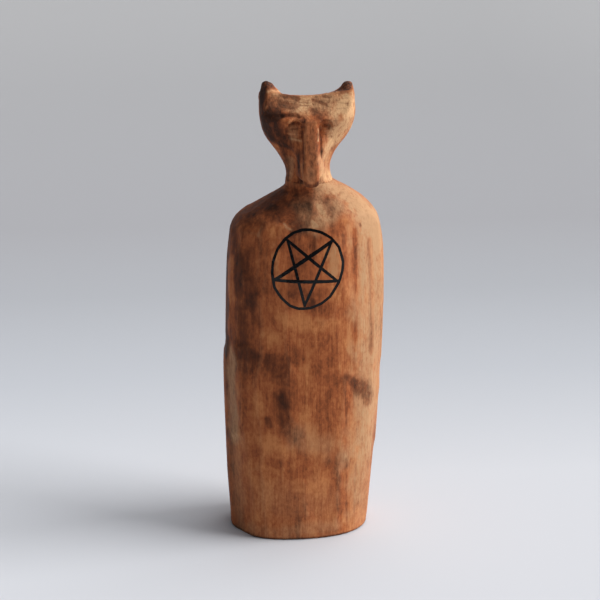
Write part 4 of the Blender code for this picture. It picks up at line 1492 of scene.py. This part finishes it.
def paint_head(mesh, skin):
    """Paints the head or a horn that was parted from the carved skin, with painted shade in the face's
    hollows and on its shaded right side and painted light on its lit left side. Dark is the horns' own
    stain, with a little painted shade down the head's edge below a horn.
    """
    points = points_of(mesh)
    tree = tree_of(skin)
    front, cut, edge = surface_of(mesh, skin)
    facing = step(-0.35, 0.0, front)
    behind = 1 - facing
    away = behind * 0.4 * ripple(points, (9, 9, 14), 22, 3)
    marks = painted(points, facing, tree, HEAD_SOAK_AND_SHADE, 41)
    soak = marks + away + CUT_SOAK * cut
    ragged = 0.7 * MM * ripple(points, (2, 2, 3), 44, 2)
    tips = step(HEAD_TOP + 0.4 * MM, HEAD_TOP + 2.6 * MM, points[:, 2] + ragged)
    dark = np.clip(np.maximum(painted(points, facing, tree, HORN_DARK, 45), tips), 0, 1)
    pale = painted(points, facing, tree, HEAD_PALE_AND_LIT, 42) + 0.20 * edge + 0.25 * behind
    pale *= (1 - 0.8 * step(*SOAKED_AND_SHADED, marks)) * (1 - dark)
    scraped = painted(points, facing, tree, HEAD_SCRAPED, 43)
    paint(mesh, soak=soak, pale=pale, scraped=scraped, dark=dark)


# Studio
def make_sweep():
    """Paper that lies flat under the figure and curves up behind it."""
    bm = bmesh.new()
    bmesh.ops.create_grid(bm, x_segments=1, y_segments=60, size=1)
    for vert in bm.verts:
        along = PAPER_FRONT + (vert.co.y + 1) / 2 * PAPER_LENGTH
        over = along - PAPER_FLAT
        turn = min(max(over / PAPER_BEND, 0), math.pi / 2)
        rise = max(over - PAPER_BEND * math.pi / 2, 0)
        y = min(along, PAPER_FLAT) + PAPER_BEND * math.sin(turn)
        z = PAPER_BEND * (1 - math.cos(turn)) + rise
        vert.co = Vector((vert.co.x * PAPER_HALF_WIDTH, y, z))
    mesh = as_mesh("studio_sweep", bm)
    mesh.shade_smooth()
    mesh.materials.append(studio_paper())
    linked("studio_sweep", mesh)


def make_lights():
    """Two soft panels, and a weak even light from all round."""
    for name, place, aim, power, size in LAMPS:
        lamp = bpy.data.lights.new(name, "AREA")
        lamp.shape = "SQUARE"
        lamp.size = size
        lamp.energy = power
        holder = linked(name, lamp)
        holder.location = place
        holder.rotation_euler = (Vector(place) - Vector(aim)).to_track_quat("Z", "Y").to_euler()
    world = bpy.data.worlds.new("room_light")
    world.use_nodes = True
    background = world.node_tree.nodes["Background"].inputs
    background["Color"].default_value = hue("#DDE0E6")
    background["Strength"].default_value = 0.25
    bpy.context.scene.world = world
    bpy.context.scene.view_settings.view_transform = "Standard"


make_camera()
make_sweep()
make_lights()

STAIN = {
    "dark": "#40251A", "deep": "#6C3A23", "middle": "#A05934", "light": "#C07B4B", "pale": "#B68C66",
    "horn": "#3B2620",
}
# The head's pale colour is lighter, for the painted light on the head's lit left side and its worn forehead
HEAD_STAIN = {**STAIN, "pale": "#CDA176"}
# Sizes of the scrapes in mm: specks on the body, and level strokes of a blade on the head
BODY_SCRAPES = (1.5, 1.5, 1.7)
HEAD_SCRAPES = (5, 5, 0.9)
body_wood = stained_wood("stained_softwood_body", BODY_SCRAPES, 0.2, **STAIN)
head_wood = stained_wood("stained_softwood_head", HEAD_SCRAPES, 1.0, **HEAD_STAIN)
horn_wood = stained_wood("dark_stained_horn_wood", HEAD_SCRAPES, 1.0, **HEAD_STAIN)
enamel = black_enamel()

body_skin = carved_body_mesh()
body, ring, star = cut_and_fill(body_skin)
paint_body(body, body_skin)
finish_piece("carved_body", body, "body", body_wood)
finish_piece("ring_enamel", ring, "chest_ring", enamel)
finish_piece("star_enamel", star, "chest_star", enamel)

head_skin = carved_head_mesh()
head, horns = parted(head_skin)
paint_head(head, head_skin)
finish_piece("carved_head", head, "head", head_wood)
for name, horn in zip(HORNS, horns):
    paint_head(horn, head_skin)
    finish_piece(f"carved_{name}", horn, name, horn_wood)
